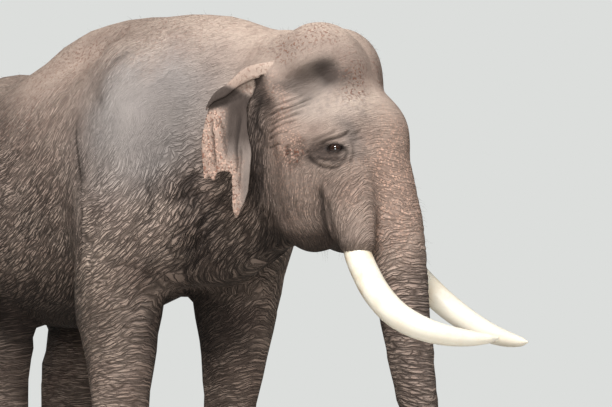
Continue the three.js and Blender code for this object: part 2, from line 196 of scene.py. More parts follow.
def foreLeg(side):
    x, y, sole = 600, 325, 216
    return united([
        tube([
            (720, side * 340, 1830, 240), (658, side * 352, 1560, 220), (636, side * 350, 1340, 189),
            (620, side * 338, 1130, 160), (606, side * 330, 920, 134), (604, side * y, 740, 130),
            (608, side * y, 600, 139), (602, side * y, 420, 139), (x, side * y, 230, 165),
            (x + 4, side * y, 90, sole - 13), (x + 6, side * y, -30, sole + 6),
        ], 120),
        egg((500, side * 352, 1480), (110, 110, 270), 130, 6),
    ], (150, min(-50, 900 * side), -200), (1200, max(50, 900 * side), 2450))


def hindLeg(x, y):
    side, sole = math.copysign(1, y), 185
    return united([
        egg((-830, side * 310, 1690), (320, 195, 560), 200, -10),
        tube([
            (-740, side * 330, 1560, 225), (x + 105, side * 325, 1260, 196), (x + 18, side * 268, 1040, 172),
            (x + 14, side * 230, 830, 140), (x - 28, y, 640, 128), (x - 28, y, 520, 124),
            (x - 10, y, 370, 128),
            (x, y, 210, 148), (x + 4, y, 80, sole - 9), (x + 6, y, -30, sole + 5),
        ], 140),
        egg((x - 100, y, 620), (60, 60, 120), 90, 8),
    ], (-1500, min(-50, 900 * side), -200), (-150, max(50, 900 * side), 2600))


legs = [foreLeg(1), foreLeg(-1), hindLeg(-760, 205), hindLeg(-675, -205)]
neck = united([
    limb((760, 0, 2180), fromHead((90, 0, 2220)), 440, 335, 200, 0.92),
    limb((850, 0, 2550), fromHead((80, 0, 2500)), 195, 190, 200),
    limb((900, 0, 1900), fromHead((110, 0, 1960)), 300, 260, 160, 0.86),
], (0, -900, 1200), (2000, 1100, 3200))
skull = united([
    egg((190, 0, 2290), (330, 315, 370), 1),
    egg((313, 134, 2506), (192, 160, 197), 80),
    egg((352, 0, 2390), (180, 250, 270), 110),
    egg((523, 0, 2194), (165, 190, 180), 110),
    limb((230, 262, 2175), (480, 165, 2235), 80, 95, 80),
    egg((340, 225, 2020), (240, 125, 165), 90),
    egg((330, 190, 1900), (200, 150, 238), 90),
    limb((330, 60, 1810), (490, 15, 1700), 130, 62, 70),
    limb((475, 150, 2020), (568, 258, 1712), 130, 82, 110),
    egg((330, 320, 2415), (190, 70, 62), -60, -25),
    egg((100, 278, 2400), (62, 42, 95), 50),
], (-500, -100, 1350), (1000, 800, 3100))
trunk = united([tube([
    (497, 0, 2190, 178), (511, 0, 2105, 182), (557, 0, 1965, 168), (612, 0, 1812, 150), (643, 0, 1672, 136),
    (668, 0, 1511, 123), (690, 0, 1360, 112), (711, 0, 1236, 105), (748, 0, 982, 91), (782, 0, 740, 80),
    (806, 0, 500, 71), (806, 0, 340, 65), (782, 0, 215, 59), (735, 0, 130, 53), (668, 0, 105, 47),
], 40)], (100, -600, -100), (1200, 600, 2700))
tail = united([tube([
    (-1150, 0, 2400, 110), (-1265, 0, 2320, 90), (-1350, 0, 2180, 66), (-1385, 0, 1980, 50),
    (-1395, 0, 1700, 40), (-1398, 0, 1350, 33), (-1400, 0, 1060, 29),
], 50)], (-1800, -500, 700), (-700, 500, 2850))
cheekLine = [(135, 352, 2400, 40), (125, 358, 2250, 58), (140, 360, 2050, 62), (178, 340, 1800, 55)]
cheekFold = united([tube(cheekLine, 60)],
                   (-300, 0, 1300), (600, 800, 2800))


def flesh(p):
    q = toHead(p)
    mirrored = np.column_stack([p[:, 0], np.abs(p[:, 1]), p[:, 2]])
    d = torso(mirrored)
    for leg in legs:
        d = softMin(d, leg(p), 90)
    d = softMin(d, tail(p), 60)
    q1 = np.column_stack([q[:, 0], np.abs(q[:, 1]), q[:, 2]])
    face = softMin(skull(q1), trunk(q), 60)
    d = softMin(softMin(d, neck(p), 200), face, 70)
    return -softMin(-d, cheekFold(q1), 60)


def surfaceNet(field, low, high, cell):
    low = np.array(low, float)
    counts = np.ceil((np.array(high) - low) / cell).astype(int) + 1
    axes = [low[i] + cell * np.arange(counts[i]) for i in range(3)]
    grid = np.stack(np.meshgrid(*axes, indexing="ij"), -1)
    value = field(grid.reshape(-1, 3)).reshape(counts)
    inside = value < 0
    total, number = np.zeros((*(counts - 1), 3)), np.zeros(counts - 1)
    for axis in range(3):
        order = [axis, (axis + 1) % 3, (axis + 2) % 3]
        back = np.argsort(order)
        v, s, g = value.transpose(order), inside.transpose(order), grid.transpose([*order, 3])
        cross = s[:-1] != s[1:]
        t = np.where(cross, v[:-1] / np.where(cross, v[:-1] - v[1:], 1), 0)
        place = g[:-1].copy()
        place[..., axis] += t * cell
        place *= cross[..., None]
        for j in (0, 1):
            for k in (0, 1):
                cut = (slice(None), slice(j, v.shape[1] - 1 + j), slice(k, v.shape[2] - 1 + k))
                total += place[cut].transpose([*back, 3])
                number += cross[cut].transpose(back)
    used = number > 0
    ids = -np.ones(number.shape, int)
    ids[used] = np.arange(used.sum())
    points = total[used] / number[used][:, None]
    quads = []
    for axis in range(3):
        order = [axis, (axis + 1) % 3, (axis + 2) % 3]
        s, c = inside.transpose(order), ids.transpose(order)
        cross = s[:-1, 1:-1, 1:-1] != s[1:, 1:-1, 1:-1]
        corners = np.stack([c[:, 1:, 1:], c[:, :-1, 1:], c[:, :-1, :-1], c[:, 1:, :-1]], -1)[cross]
        away = ~s[:-1, 1:-1, 1:-1][cross]
        corners[away] = corners[away][:, ::-1]
        quads.append(corners)
    return points, np.concatenate(quads)


def slopeOf(field, p, d, step=2):
    return np.stack([(field(p + step * way) - d) / step for way in np.eye(3)], 1)


def settle(field, p, rounds=2):
    for _ in range(rounds):
        d = field(p)
        slope = slopeOf(field, p, d)
        steep = np.maximum((slope ** 2).sum(1), 0.25)
        p = p - np.clip(d / steep, -15, 15)[:, None] * slope
    return p


# the flesh with its soles cut level at the floor
def standing(p):
    return -softMin(-flesh(p), p[:, 2], 16)


# smooth lattice noise from -1 to 1
lattice = np.random.default_rng(11).uniform(-1, 1, (32, 32, 32))


def noise(p, size):
    q = np.asarray(p, float) / size
    cell = np.floor(q).astype(int)
    w = q - cell
    w = w * w * (3 - 2 * w)
    total = 0
    for i in (0, 1):
        for j in (0, 1):
            for k in (0, 1):
                share = np.prod(np.where([i, j, k], w, 1 - w), axis=1)
                at = (cell + (i, j, k)) % 32
                total = total + share * lattice[at[:, 0], at[:, 1], at[:, 2]]
    return total


def deselectAll():
    if bpy.context.object and bpy.context.object.mode != "OBJECT":
        bpy.ops.object.mode_set(mode="OBJECT")
    bpy.ops.object.select_all(action="DESELECT")


def only(piece):
    deselectAll()
    piece.select_set(True)
    bpy.context.view_layer.objects.active = piece
    return piece


def meshObject(name, points, faces):
    mesh = bpy.data.meshes.new(name)
    mesh.from_pydata([tuple(p) for p in points], [], [tuple(int(i) for i in f) for f in faces])
    piece = bpy.data.objects.new(name, mesh)
    bpy.context.collection.objects.link(piece)
    return piece


def coordsOf(piece):
    co = np.empty(len(piece.data.vertices) * 3)
    piece.data.vertices.foreach_get("co", co)
    return co.reshape(-1, 3)


def setCoords(piece, co):
    piece.data.vertices.foreach_set("co", np.ascontiguousarray(co).ravel())
    piece.data.update()


def normalsOf(piece):
    out = np.empty(len(piece.data.vertices) * 3)
    piece.data.vertex_normals.foreach_get("vector", out)
    return out.reshape(-1, 3)


def setAttribute(piece, name, values):
    values = np.asarray(values, np.float32)
    kind, key = ("FLOAT_COLOR", "color") if values.ndim == 2 else ("FLOAT", "value")
    attribute = piece.data.attributes.get(name) or piece.data.attributes.new(name, kind, "POINT")
    attribute.data.foreach_set(key, np.ascontiguousarray(values).ravel())


def getAttribute(piece, name):
    attribute = piece.data.attributes[name]
    wide = attribute.data_type == "FLOAT_COLOR"
    out = np.empty(len(piece.data.vertices) * (4 if wide else 1), np.float32)
    attribute.data.foreach_get("color" if wide else "value", out)
    return out.reshape(-1, 4) if wide else out


def applied(piece, kind, **settings):
    only(piece)
    modifier = piece.modifiers.new(kind, kind)
    for key, value in settings.items():
        setattr(modifier, key, value)
    bpy.ops.object.modifier_apply(modifier=modifier.name)


# goes into edit mode with only the picked points selected
def editPoints(piece, pick):
    only(piece)
    bpy.ops.object.mode_set(mode="EDIT")
    bpy.ops.mesh.select_mode(type="VERT")
    bpy.ops.mesh.select_all(action="DESELECT")
    bpy.ops.object.mode_set(mode="OBJECT")
    piece.data.vertices.foreach_set("select", pick)
    bpy.ops.object.mode_set(mode="EDIT")


def edgesOf(piece):
    edges = np.empty(len(piece.data.edges) * 2, int)
    piece.data.edges.foreach_get("vertices", edges)
    return edges.reshape(-1, 2).T


# splits the faces wherever wanted(places in body millimetres) says so, and lays the new points on the flesh
def refine(piece, wanted):
    editPoints(piece, wanted(toBody(coordsOf(piece))))
    bpy.ops.mesh.subdivide(number_cuts=1, quadcorner="INNERVERT")
    bpy.ops.object.mode_set(mode="OBJECT")
    p = toBody(coordsOf(piece))
    pick = wanted(p)
    p[pick] = settle(standing, p[pick], 1)
    setCoords(piece, toRow(p))


# the skin: the flesh's own surface, finer where the head is
skinSize = {"cell": 24, "low": (-1520, -720, -60), "high": (2120, 820, 2920), "triangles": 192000}
points, faces = surfaceNet(standing, skinSize["low"], skinSize["high"], skinSize["cell"])
skin = meshObject("skin", toRow(settle(standing, points)), faces)
tell("skin netted")

# the way the wrinkles run
# where on the right side, the rise of the creases there towards the front in degrees, their spacing in
# millimetres and how deep they are from 0 to 1. Many of the places were printed by a helper script that cast
# marked points onto the model, then rounded to 10 mm, rather than chosen by hand
bodyLie = [
    (-90, -580, 2010, 15, 26, 0.9), (80, -570, 2050, 25, 26, 0.9), (210, -530, 2140, 40, 26, 0.8),
    (-90, -580, 1800, 15, 27, 1), (110, -560, 1850, 20, 27, 1), (290, -540, 1930, 35, 26, 1),
    (420, -520, 2050, 60, 24, 1), (50, -550, 1740, 15, 27, 1), (240, -530, 1800, 30, 27, 1),
    (420, -520, 1890, 50, 26, 1), (380, -480, 1760, 50, 26, 1), (520, -530, 1950, 80, 24, 0.8),
    (460, -510, 2140, 90, 24, 0.6), (-230, -430, 1460, 25, 28, 0.9), (-30, -480, 1560, 25, 28, 1),
    (290, -430, 1610, 35, 28, 1), (190, -490, 2300, 60, 22, 0.55), (380, -490, 2230, 70, 22, 0.6),
    (430, -460, 2350, 75, 20, 0.35), (0, -300, 2560, 60, 20, 0.15), (-500, -560, 1950, 10, 27, 0.9),
    (-500, -500, 1500, 5, 28, 0.9), (-900, -420, 2350, 40, 24, 0.5), (-1150, -350, 2000, 70, 26, 0.8),
    (-900, -480, 1700, 20, 28, 1), (-650, -480, 1500, 20, 28, 1), (-1250, -150, 1700, 80, 26, 0.8),
    (680, -580, 1910, -10, 24, 0.75), (870, -540, 1880, -30, 24, 0.7), (640, -540, 2150, 60, 20, 0.35),
    (780, -580, 1800, -25, 25, 0.9), (920, -490, 1740, 0, 26, 1), (1060, -330, 1780, 40, 28, 1),
    (1140, -280, 1930, 65, 28, 1), (790, -560, 1710, -15, 25, 0.9), (970, -390, 1670, 5, 27, 1),
    (1050, -310, 1730, 35, 30, 1), (740, -550, 1570, 10, 24, 0.9), (940, -390, 1620, 10, 26, 1),
    (720, -540, 1470, 10, 23, 0.9), (820, -470, 1490, 20, 23, 0.9), (910, -410, 1590, 45, 24, 0.9),
    (790, -460, 1400, 30, 22, 0.8), (850, -370, 1460, 50, 24, 0.8), (600, -500, 1250, 5, 22, 0.8),
    (600, -460, 900, 5, 22, 0.8), (620, -450, 650, 0, 22, 0.7), (600, -530, 300, 0, 22, 0.55),
    (850, -440, 2300, 70, 18, 0.1), (900, -420, 2100, 75, 20, 0.3), (1000, -300, 2450, 20, 20, 0.2),
    (1100, -290, 2300, 10, 20, 0.3), (1150, -290, 2150, 5, 22, 0.45), (1140, -290, 2000, 20, 25, 0.9),
    (1080, -270, 1740, 50, 32, 1), (1170, -230, 1850, 50, 32, 1), (1280, -190, 1960, 50, 28, 1),
    (1210, -140, 1710, 60, 34, 1), (1100, -60, 1600, 50, 30, 1),
    (-700, -400, 1150, 5, 22, 0.9), (-700, -330, 800, 0, 22, 0.9), (-700, -380, 300, 0, 22, 0.6),
    (-1390, -20, 1900, 0, 22, 0.7), (-1400, -20, 1300, 0, 20, 0.7),
]
# the same in the head's own frame
headLie = [
    (90, -300, 2200, 90, 16, 0.85), (90, -290, 2060, 90, 16, 0.85), (90, -260, 1920, 90, 17, 0.85),
    (80, -190, 1800, 80, 18, 0.9), (150, -290, 2490, 40, 14, 0.15), (200, -300, 2330, 25, 15, 0.5),
    (260, -290, 2340, 25, 15, 0.45), (380, -290, 2320, 30, 14, 0.3), (240, -340, 2220, 20, 15, 0.5),
    (280, -340, 2190, 15, 15, 0.35), (180, -300, 2100, 80, 13, 0.4), (200, -330, 1980, 95, 12, 0.6),
    (230, -340, 1880, 105, 12, 0.8), (290, -340, 1830, 125, 13, 0.8), (340, -330, 1790, 165, 14, 0.8),
    (400, -340, 1850, 75, 13, 0.8), (380, -350, 2000, 85, 12, 0.6), (330, -350, 1950, 100, 12, 0.6),
    (470, -330, 2030, 60, 13, 0.7), (520, -290, 2000, 70, 14, 0.7), (500, -300, 1900, 80, 15, 0.7),
    (500, -270, 1800, 85, 15, 0.7), (560, -200, 2130, 60, 15, 0.6), (560, -190, 2220, 40, 16, 0.5),
    (480, -270, 2230, 30, 15, 0.3), (420, -270, 2300, 20, 14, 0.12), (600, -120, 2150, 25, 18, 0.6),
    (660, 0, 2100, 5, 20, 0.55), (690, 0, 2250, 5, 20, 0.3), (640, -130, 1980, 15, 20, 0.65),
    (700, 0, 1900, 5, 21, 0.7), (650, -120, 1750, 10, 21, 0.75), (640, -110, 1500, 5, 21, 0.9),
    (780, 0, 1500, 0, 21, 0.9), (700, -90, 1100, 0, 20, 0.9), (820, 0, 800, 0, 19, 0.9),
    (800, 0, 400, 0, 18, 0.9),
    (500, 0, 2450, 40, 15, 0.1), (300, -150, 2650, 30, 15, 0.1), (100, -200, 2600, 20, 16, 0.2),
    (430, -60, 1720, 10, 18, 0.8), (300, -60, 1700, 20, 20, 0.9),
]


def guides():
    rows = []
    for x, y, z, rise, spacing, depth in bodyLie:
        a = math.radians(rise)
        for side in (1, -1):
            rows.append([x, side * y, z, -math.sin(a), 0, math.cos(a), spacing, depth])
    for f, out, z, rise, spacing, depth in headLie:
        a = math.radians(rise)
        for side in (1, -1):
            way = np.array([-math.sin(a), 0, math.cos(a)]) @ headWays
            rows.append([*fromHead((f, side * out, z)), *way, spacing, depth])
    return np.array(rows)


# what the nearest guides say: [direction, spacing, depth] for each place
def lieAt(p):
    rows = guides()
    out = np.empty((len(p), 5))
    for start in range(0, len(p), 20000):
        part = p[start:start + 20000]
        far = ((part[:, None] - rows[None, :, :3]) ** 2).sum(2)
        weight = 1 / (far + 50 ** 2) ** 2.2
        out[start:start + 20000] = (weight @ rows[:, 3:]) / weight.sum(1)[:, None]
    return out


# the count of creases passed, found so that it climbs along each guide's direction
def layGrain(piece):
    p, n = toBody(coordsOf(piece)), normalsOf(piece)
    lie = lieAt(p)
    way = lie[:, :3] - (lie[:, :3] * n).sum(1)[:, None] * n
    way /= np.maximum(np.linalg.norm(way, axis=1), 0.35)[:, None]
    way /= lie[:, 3:4]
    a, b = edgesOf(piece)
    wanted = ((way[a] + way[b]) / 2 * (p[b] - p[a])).sum(1)
    count = len(p)

    def spread(flow):
        return np.bincount(b, flow, count) - np.bincount(a, flow, count)

    grain = p[:, 2] / 24
    degree = np.bincount(a, minlength=count) + np.bincount(b, minlength=count)
    rest = spread(wanted - (grain[b] - grain[a]))
    step = rest / degree
    size = rest @ step
    for _ in range(160):
        pulled = spread(step[b] - step[a])
        reach = size / (step @ pulled)
        grain = grain + reach * step
        rest = rest - reach * pulled
        eased = rest / degree
        last, size = size, rest @ eased
        step = eased + size / last * step
    q = toHead(p)
    onFace = ramp(q[:, 0], 100, 240) * ramp(p[:, 2], 1450, 1750)
    setAttribute(piece, "grain", grain)
    setAttribute(piece, "furrow", lie[:, 4] * (1 - 0.42 * onFace))


layGrain(skin)
tell("grain laid")

applied(skin, "SUBSURF", subdivision_type="SIMPLE", levels=1)
setCoords(skin, toRow(settle(standing, toBody(coordsOf(skin)), 1)))
tell("skin at 12 mm")


def nearHead(p):
    q = toHead(p)
    return (q[:, 0] > 60) & (q[:, 2] > 1450)


def nearEye(p, reach):
    q = toHead(p)
    f, out, z = head["eye"]
    beside = np.abs(np.abs(q[:, 1]) - out) < 120
    return (np.abs(q[:, 0] - f) < reach) & beside & (np.abs(q[:, 2] - z) < reach)


def nearTip(p, reach):
    return np.hypot(*(toHead(p) - (640, 0, 95)).T[[0, 2]]) < reach


refine(skin, nearHead)
refine(skin, lambda p: nearTip(p, 130) & (p[:, 2] < 230))
refine(skin, lambda p: nearTip(p, 90) & (p[:, 2] < 180))
refine(skin, lambda p: nearEye(p, 130))
refine(skin, lambda p: nearEye(p, 60))
tell("head refined")
print("skin points", len(skin.data.vertices))

# sculpting: folds, hollows and lids
# a fold is a line with its width and depth in millimetres, and the height of the lip on the side that is
# to the left of the line's way. Body lines are [forward, up], head lines the same in the head's frame. Many of
# the body's points and a few of the head's came from the same helper script, then rounded to 5 mm
bodyFolds = [
    ([(425, 2375), (440, 2285), (460, 2205), (520, 2085), (585, 1965), (640, 1865), (645, 1770), (630, 1655),
      (580, 1540), (505, 1415), (480, 1325)], 14, 15, 8),
    ([(985, 1980), (995, 1875), (985, 1765)], 9, 6, 2),
    ([(1160, 2045), (1125, 1980), (1105, 1930), (1075, 1860)], 24, 18, 5),
    ([(1060, 1800), (1120, 1880), (1160, 1960)], 16, 10, 4),
    ([(1085, 1740), (1175, 1850), (1280, 1960)], 18, 14, 6),
    ([(1010, 1640), (1110, 1720), (1230, 1850)], 18, 14, 6),
    ([(900, 1560), (1010, 1600), (1100, 1670)], 14, 9, 4),
    ([(870, 1480), (930, 1560), (1020, 1640)], 14, 9, 4),
    ([(200, 1330), (320, 1500), (440, 1700)], 22, 9, 4),
    ([(-420, 1350), (-480, 1560), (-560, 1800)], 40, 16, 6),
    ([(-560, 1290), (-640, 1420), (-660, 1560)], 26, 10, 5),
    ([(755, 2675), (640, 2570), (555, 2450), (590, 2390), (690, 2355)], 30, 3, 9),
]
bodySwells = [
    # [forward, up], reach, height
    ((600, 2400), 70, -14), ((885, 2415), 60, 10), ((845, 2325), 50, 9), ((925, 2480), 60, 8),
    ((1030, 2120), 60, -12), ((990, 2045), 55, -10), ((1060, 2215), 55, -8), ((640, 2300), 120, 8),
]
headFolds = [
    ([(410, 2130), (435, 2150), (495, 2170), (535, 2200)], 7, 9, 3),
    ([(365, 2140), (405, 2160), (450, 2180), (480, 2200)], 7, 5, 2),
    ([(350, 2095), (390, 2105), (430, 2115)], 6, 5, 2),
    ([(355, 2110), (385, 2065), (430, 2035), (500, 2030), (535, 2075)], 9, 7, 0),
    ([(390, 2100), (440, 2090), (500, 2090)], 5, 3, 1), ([(400, 2080), (450, 2060), (505, 2070)], 5, 3, 1),
    ([(520, 2130), (530, 2090), (525, 2050)], 7, 5, 2),
    ([(545, 2150), (555, 2100), (550, 2040)], 7, 4, 1),
    ([(520, 2170), (545, 2180), (570, 2200)], 6, 4, 1),
    ([(525, 2150), (555, 2160), (585, 2170)], 6, 4, 1),
    ([(425, 1960), (430, 1855), (430, 1750), (440, 1690)], 15, 16, 8),
    ([(460, 1900), (470, 1800), (475, 1720)], 12, 6, 3),
    ([(140, 2290), (200, 2320), (260, 2345), (330, 2385)], 5, 5, 2),
    ([(140, 2260), (200, 2290), (270, 2310), (380, 2360)], 6, 7, 2),
    ([(140, 2240), (200, 2260), (270, 2290), (370, 2320)], 5, 5, 2),
    ([(140, 2220), (200, 2240), (260, 2260), (345, 2285)], 6, 6, 2),
    ([(140, 2190), (200, 2210), (250, 2230), (310, 2245)], 5, 5, 2),
    ([(140, 2160), (190, 2175), (240, 2190), (285, 2195)], 5, 4, 2),
    ([(140, 2125), (180, 2130), (215, 2140), (245, 2140)], 5, 4, 1),
    ([(125, 2375), (100, 2300), (95, 2240), (120, 2175)], 9, 9, 4),
    ([(105, 2340), (80, 2290), (80, 2230), (95, 2180)], 8, 7, 3),
    ([(260, 2135), (270, 2110), (260, 2080)], 9, 6, 0),
]
headSwells = [
    ((405, 2445), 52, -17), ((345, 2410), 56, -14), ((280, 2375), 56, -9), ((450, 2480), 34, -12),
    ((440, 2300), 110, 10), ((360, 2260), 90, 8), ((420, 2070), 42, 8), ((470, 2065), 44, 8),
    ((235, 2110), 60, 5), ((520, 2260), 80, 6),
]


def along(line, uv):
    # the distance to a smoothed line, which side it is on, and how far along from 0 to 1
    steps = 7 * (len(line) - 1)
    dots = np.array([curvePoint(line, i / steps) for i in range(steps + 1)])
    best, side, part = np.full(len(uv), 1e9), np.zeros(len(uv)), np.zeros(len(uv))
    for i in range(steps):
        way = dots[i + 1] - dots[i]
        t = np.clip((uv - dots[i]) @ way / (way @ way), 0, 1)
        off = uv - dots[i] - t[:, None] * way
        far = np.hypot(off[:, 0], off[:, 1])
        nearer = far < best
        best[nearer] = far[nearer]
        side[nearer] = (way[0] * off[:, 1] - way[1] * off[:, 0])[nearer]
        part[nearer] = (i + t[nearer]) / steps
    return best, np.sign(side), part


def folded(uv, folds, swells):
    rise, crease = np.zeros(len(uv)), np.zeros(len(uv))
    for line, width, depth, lip in folds:
        box = np.array(line)
        near = ((uv > box.min(0) - 5 * width) & (uv < box.max(0) + 5 * width)).all(1)
        if not near.any():
            continue
        far, side, part = along(line, uv[near])
        taper = ramp(part, 0, 0.2) * ramp(1 - part, 0, 0.2)
        groove = np.exp(-(far / width) ** 2) * taper
        ridge = lip * np.exp(-((far - 2 * width) / (1.2 * width)) ** 2) * (side > 0)
        rise[near] += ridge * taper - depth * groove
        # each groove is also marked as a crease, which the hide later paints dark: painted shade in the fold
        crease[near] = np.maximum(crease[near], groove * min(1, depth / 8))
    for at, reach, height in swells:
        rise += height * np.exp(-((uv - at) ** 2).sum(1) / reach ** 2)
    return rise, crease


lids = {"at": (477, 2117), "half": 38, "above": 19, "below": 14, "thick": 5, "blend": 26}


# opens the skin over each eyeball into an almond, its rim laid over the ball
def openLids(p):
    q = toHead(p)
    side = np.sign(q[:, 1])
    f, out, z = head["eye"]
    u, v = q[:, 0] - lids["at"][0], q[:, 2] - lids["at"][1]
    near = (np.hypot(u, v) < 110) & (np.abs(q[:, 1]) > 200)
    high = np.where(v > 0, lids["above"], lids["below"])
    norm = (np.abs(u / lids["half"]) ** 1.7 + np.abs(v / high) ** 1.7) ** (1 / 1.7)
    # points beside the rim are drawn onto it, which keeps its line clean
    snap = near & (norm > 0.82) & (norm < 1.05)
    u[snap] /= norm[snap]
    v[snap] /= norm[snap]
    norm[snap] = 1
    fromBall = np.hypot(u + lids["at"][0] - f, v + lids["at"][1] - z)
    crown = np.sqrt(np.maximum(head["eyeRadius"] ** 2 - fromBall ** 2, 0))
    ball = out + crown - 14 * ramp(fromBall, 24, 34)
    w = np.abs(q[:, 1])
    past = np.maximum(norm - 1, 0) * 21
    lid = ball + lids["thick"] + 2.5 * np.exp(-((past - 5) / 5) ** 2)
    over = np.exp(-(past / lids["blend"]) ** 2)
    outside = np.where(lid > w, w + (lid - w) * over, w + (lid - w) * over * 0.6)
    inside = np.minimum(ball - 6, out + 12)
    w = np.where(norm < 0.999, inside, outside)
    q[near, 0] = (u + lids["at"][0])[near]
    q[near, 2] = (v + lids["at"][1])[near]
    q[near, 1] = (side * w)[near]
    # the rim and the hollow inside it are marked wet: dark wet skin on the lids, and painted shade in the
    # corners round the ball
    wet = near * np.exp(-(np.maximum(norm - 1, 0) * 18 / 5) ** 2)
    return fromHead(q), wet


trunkTip = {"at": (668, 105), "way": (-0.937, -0.35), "apart": 17, "hole": 10, "deep": 34, "finger": 40}


# two nostrils and the one finger at the end of the trunk
def shapeTip(p):
    q = toHead(p)
    way, across = np.array(trunkTip["way"]), np.array([trunkTip["way"][1], -trunkTip["way"][0]])
    off = q[:, [0, 2]] - trunkTip["at"]
    u, v = off @ way, -(off @ across)
    w = np.abs(q[:, 1])
    end = ramp(u, 10, 34) * (np.hypot(off[:, 0], off[:, 1]) < 90)
    hole = np.exp(-(((w - trunkTip["apart"]) / trunkTip["hole"]) ** 2 + ((v + 6) / 13) ** 2) ** 2) * end
    finger = np.exp(-((w / 19) ** 2 + ((v - 33) / 15) ** 2)) * ramp(u, -5, 25) * (end > 0)
    rim = np.exp(-((np.hypot(w - trunkTip["apart"], v + 6) - 19) / 7) ** 2) * end
    push = finger * trunkTip["finger"] + rim * 5 - hole * trunkTip["deep"]
    q[:, 0] += push * way[0]
    q[:, 2] += push * way[1]
    return fromHead(q), hole


def sculpt(piece):
    p, n = toBody(coordsOf(piece)), normalsOf(piece)
    q = toHead(p)
    onHead = ramp(q[:, 0], 20, 90) * (np.abs(q[:, 1]) > 90)
    onBody = 1 - ramp(q[:, 0], -60, 60)
    sideways = ramp(np.abs(n[:, 1]), 0.15, 0.5)
    rise, crease = folded(q[:, [0, 2]], headFolds, headSwells)
    rise, crease = rise * onHead, crease * onHead
    bodyRise, bodyCrease = folded(p[:, [0, 2]], bodyFolds, bodySwells)
    rise += bodyRise * onBody * sideways
    crease = np.maximum(crease, bodyCrease * onBody * sideways)
    # loose skin hangs in thicker folds along the grain on the neck, chest and behind the jaw, with painted
    # shade in the bottoms of the folds
    grain = getAttribute(piece, "grain")
    slack = np.exp(-((p - (1130, 0, 1760)) / (170, 420, 190)) ** 2 @ np.ones(3))
    slack += 0.7 * np.exp(-((q - (60, 0, 1950)) / (70, 420, 260)) ** 2 @ np.ones(3))
    phase = grain * 0.42 + 0.8 * noise(p, 90)
    roll = np.abs(np.sin(math.pi * phase))
    rise += np.clip(slack, 0, 1) * (22 * (roll - 0.6) + 16 * noise(p, 52))
    crease = np.maximum(crease, np.clip(slack, 0, 1) * np.exp(-(roll / 0.22) ** 2))
    # the flesh is never quite even
    rise += 4 * noise(p, 170) + 2 * noise(p + 500, 60)
    # rings on the trunk, bold ones on its front
    onTrunk = ramp(q[:, 0], 380, 480) * (1 - ramp(p[:, 2], 1750, 2000))
    ring = np.abs(np.sin(math.pi * (grain + 0.5 * noise(p, 50))))
    rise += onTrunk * 3.0 * (ring - 0.6)
    level = ramp(p[:, 2], 4, 40)
    p = p + (rise * level)[:, None] * n
    p, hole = shapeTip(p)
    p, wet = openLids(p)
    # the nostrils are painted dark with the creases: painted shade in the holes
    crease = np.maximum(crease, hole)
    setCoords(piece, toRow(p))
    setAttribute(piece, "crease", crease)
    setAttribute(piece, "wet", wet)


sculpt(skin)
tell("skin sculpted")

# the ears
ear = {"out": (-0.3, 0.95, 0), "thickness": 9, "hem": 5, "columns": 60, "rollRows": 9, "fallRows": 40}
earRim = [
    (190, 236, 2530), (150, 278, 2520), (100, 318, 2508), (50, 356, 2474), (0, 395, 2415),
    (-48, 428, 2372), (-82, 442, 2318),
]
earUpper = [(60, 338, 2318), (44, 354, 2306), (14, 384, 2288), (-38, 420, 2255), (-92, 445, 2242)]
earMiddle = [(104, 380, 2105), (60, 392, 2112), (0, 412, 2120), (-60, 436, 2124), (-107, 450, 2126)]
tornHem = [
    (97, 398, 1930), (82, 401, 1886), (64, 404, 1848), (43, 409, 1812), (31, 413, 1862),
    (25, 418, 2008), (-8, 424, 2020), (-38, 430, 2012), (-55, 435, 1980), (-75, 438, 1998),
    (-92, 441, 1985), (-101, 447, 2057),
]
wholeHem = [
    (76, 399, 1878), (58, 404, 1846), (40, 410, 1838), (22, 416, 1845), (-5, 424, 1872),
    (-36, 430, 1918), (-58, 436, 1925), (-78, 440, 1962), (-94, 443, 1985), (-104, 447, 2050),
]


# folds and lumps of the outer face, as [forward, up]: lines with width, depth and lip, then reach and height
earFolds = [
    ([(-64, 2263), (-56, 2150), (-44, 2010)], 6, 9, 3), ([(-26, 2265), (-14, 2180), (2, 2060)], 7, 6, 3),
    ([(34, 2300), (40, 2200), (46, 2080), (40, 1990)], 8, 8, 3),
    ([(66, 2150), (60, 2020), (54, 1930)], 6, 6, 2),
    ([(-80, 2300), (-30, 2318), (20, 2345), (60, 2372)], 8, 5, 0),
    ([(-90, 2080), (-60, 2066), (-34, 2074)], 6, 3, 1),
]
earSwells = [
    ((-34, 2256), 24, 13), ((-8, 2236), 20, 11), ((-46, 2206), 20, 9), ((8, 2200), 24, 9),
    ((-30, 2170), 18, 7),
    ((58, 2262), 46, -14), ((48, 2120), 44, 8),
    ((101, 2351), 13, 12), ((112, 2300), 26, -6),
]


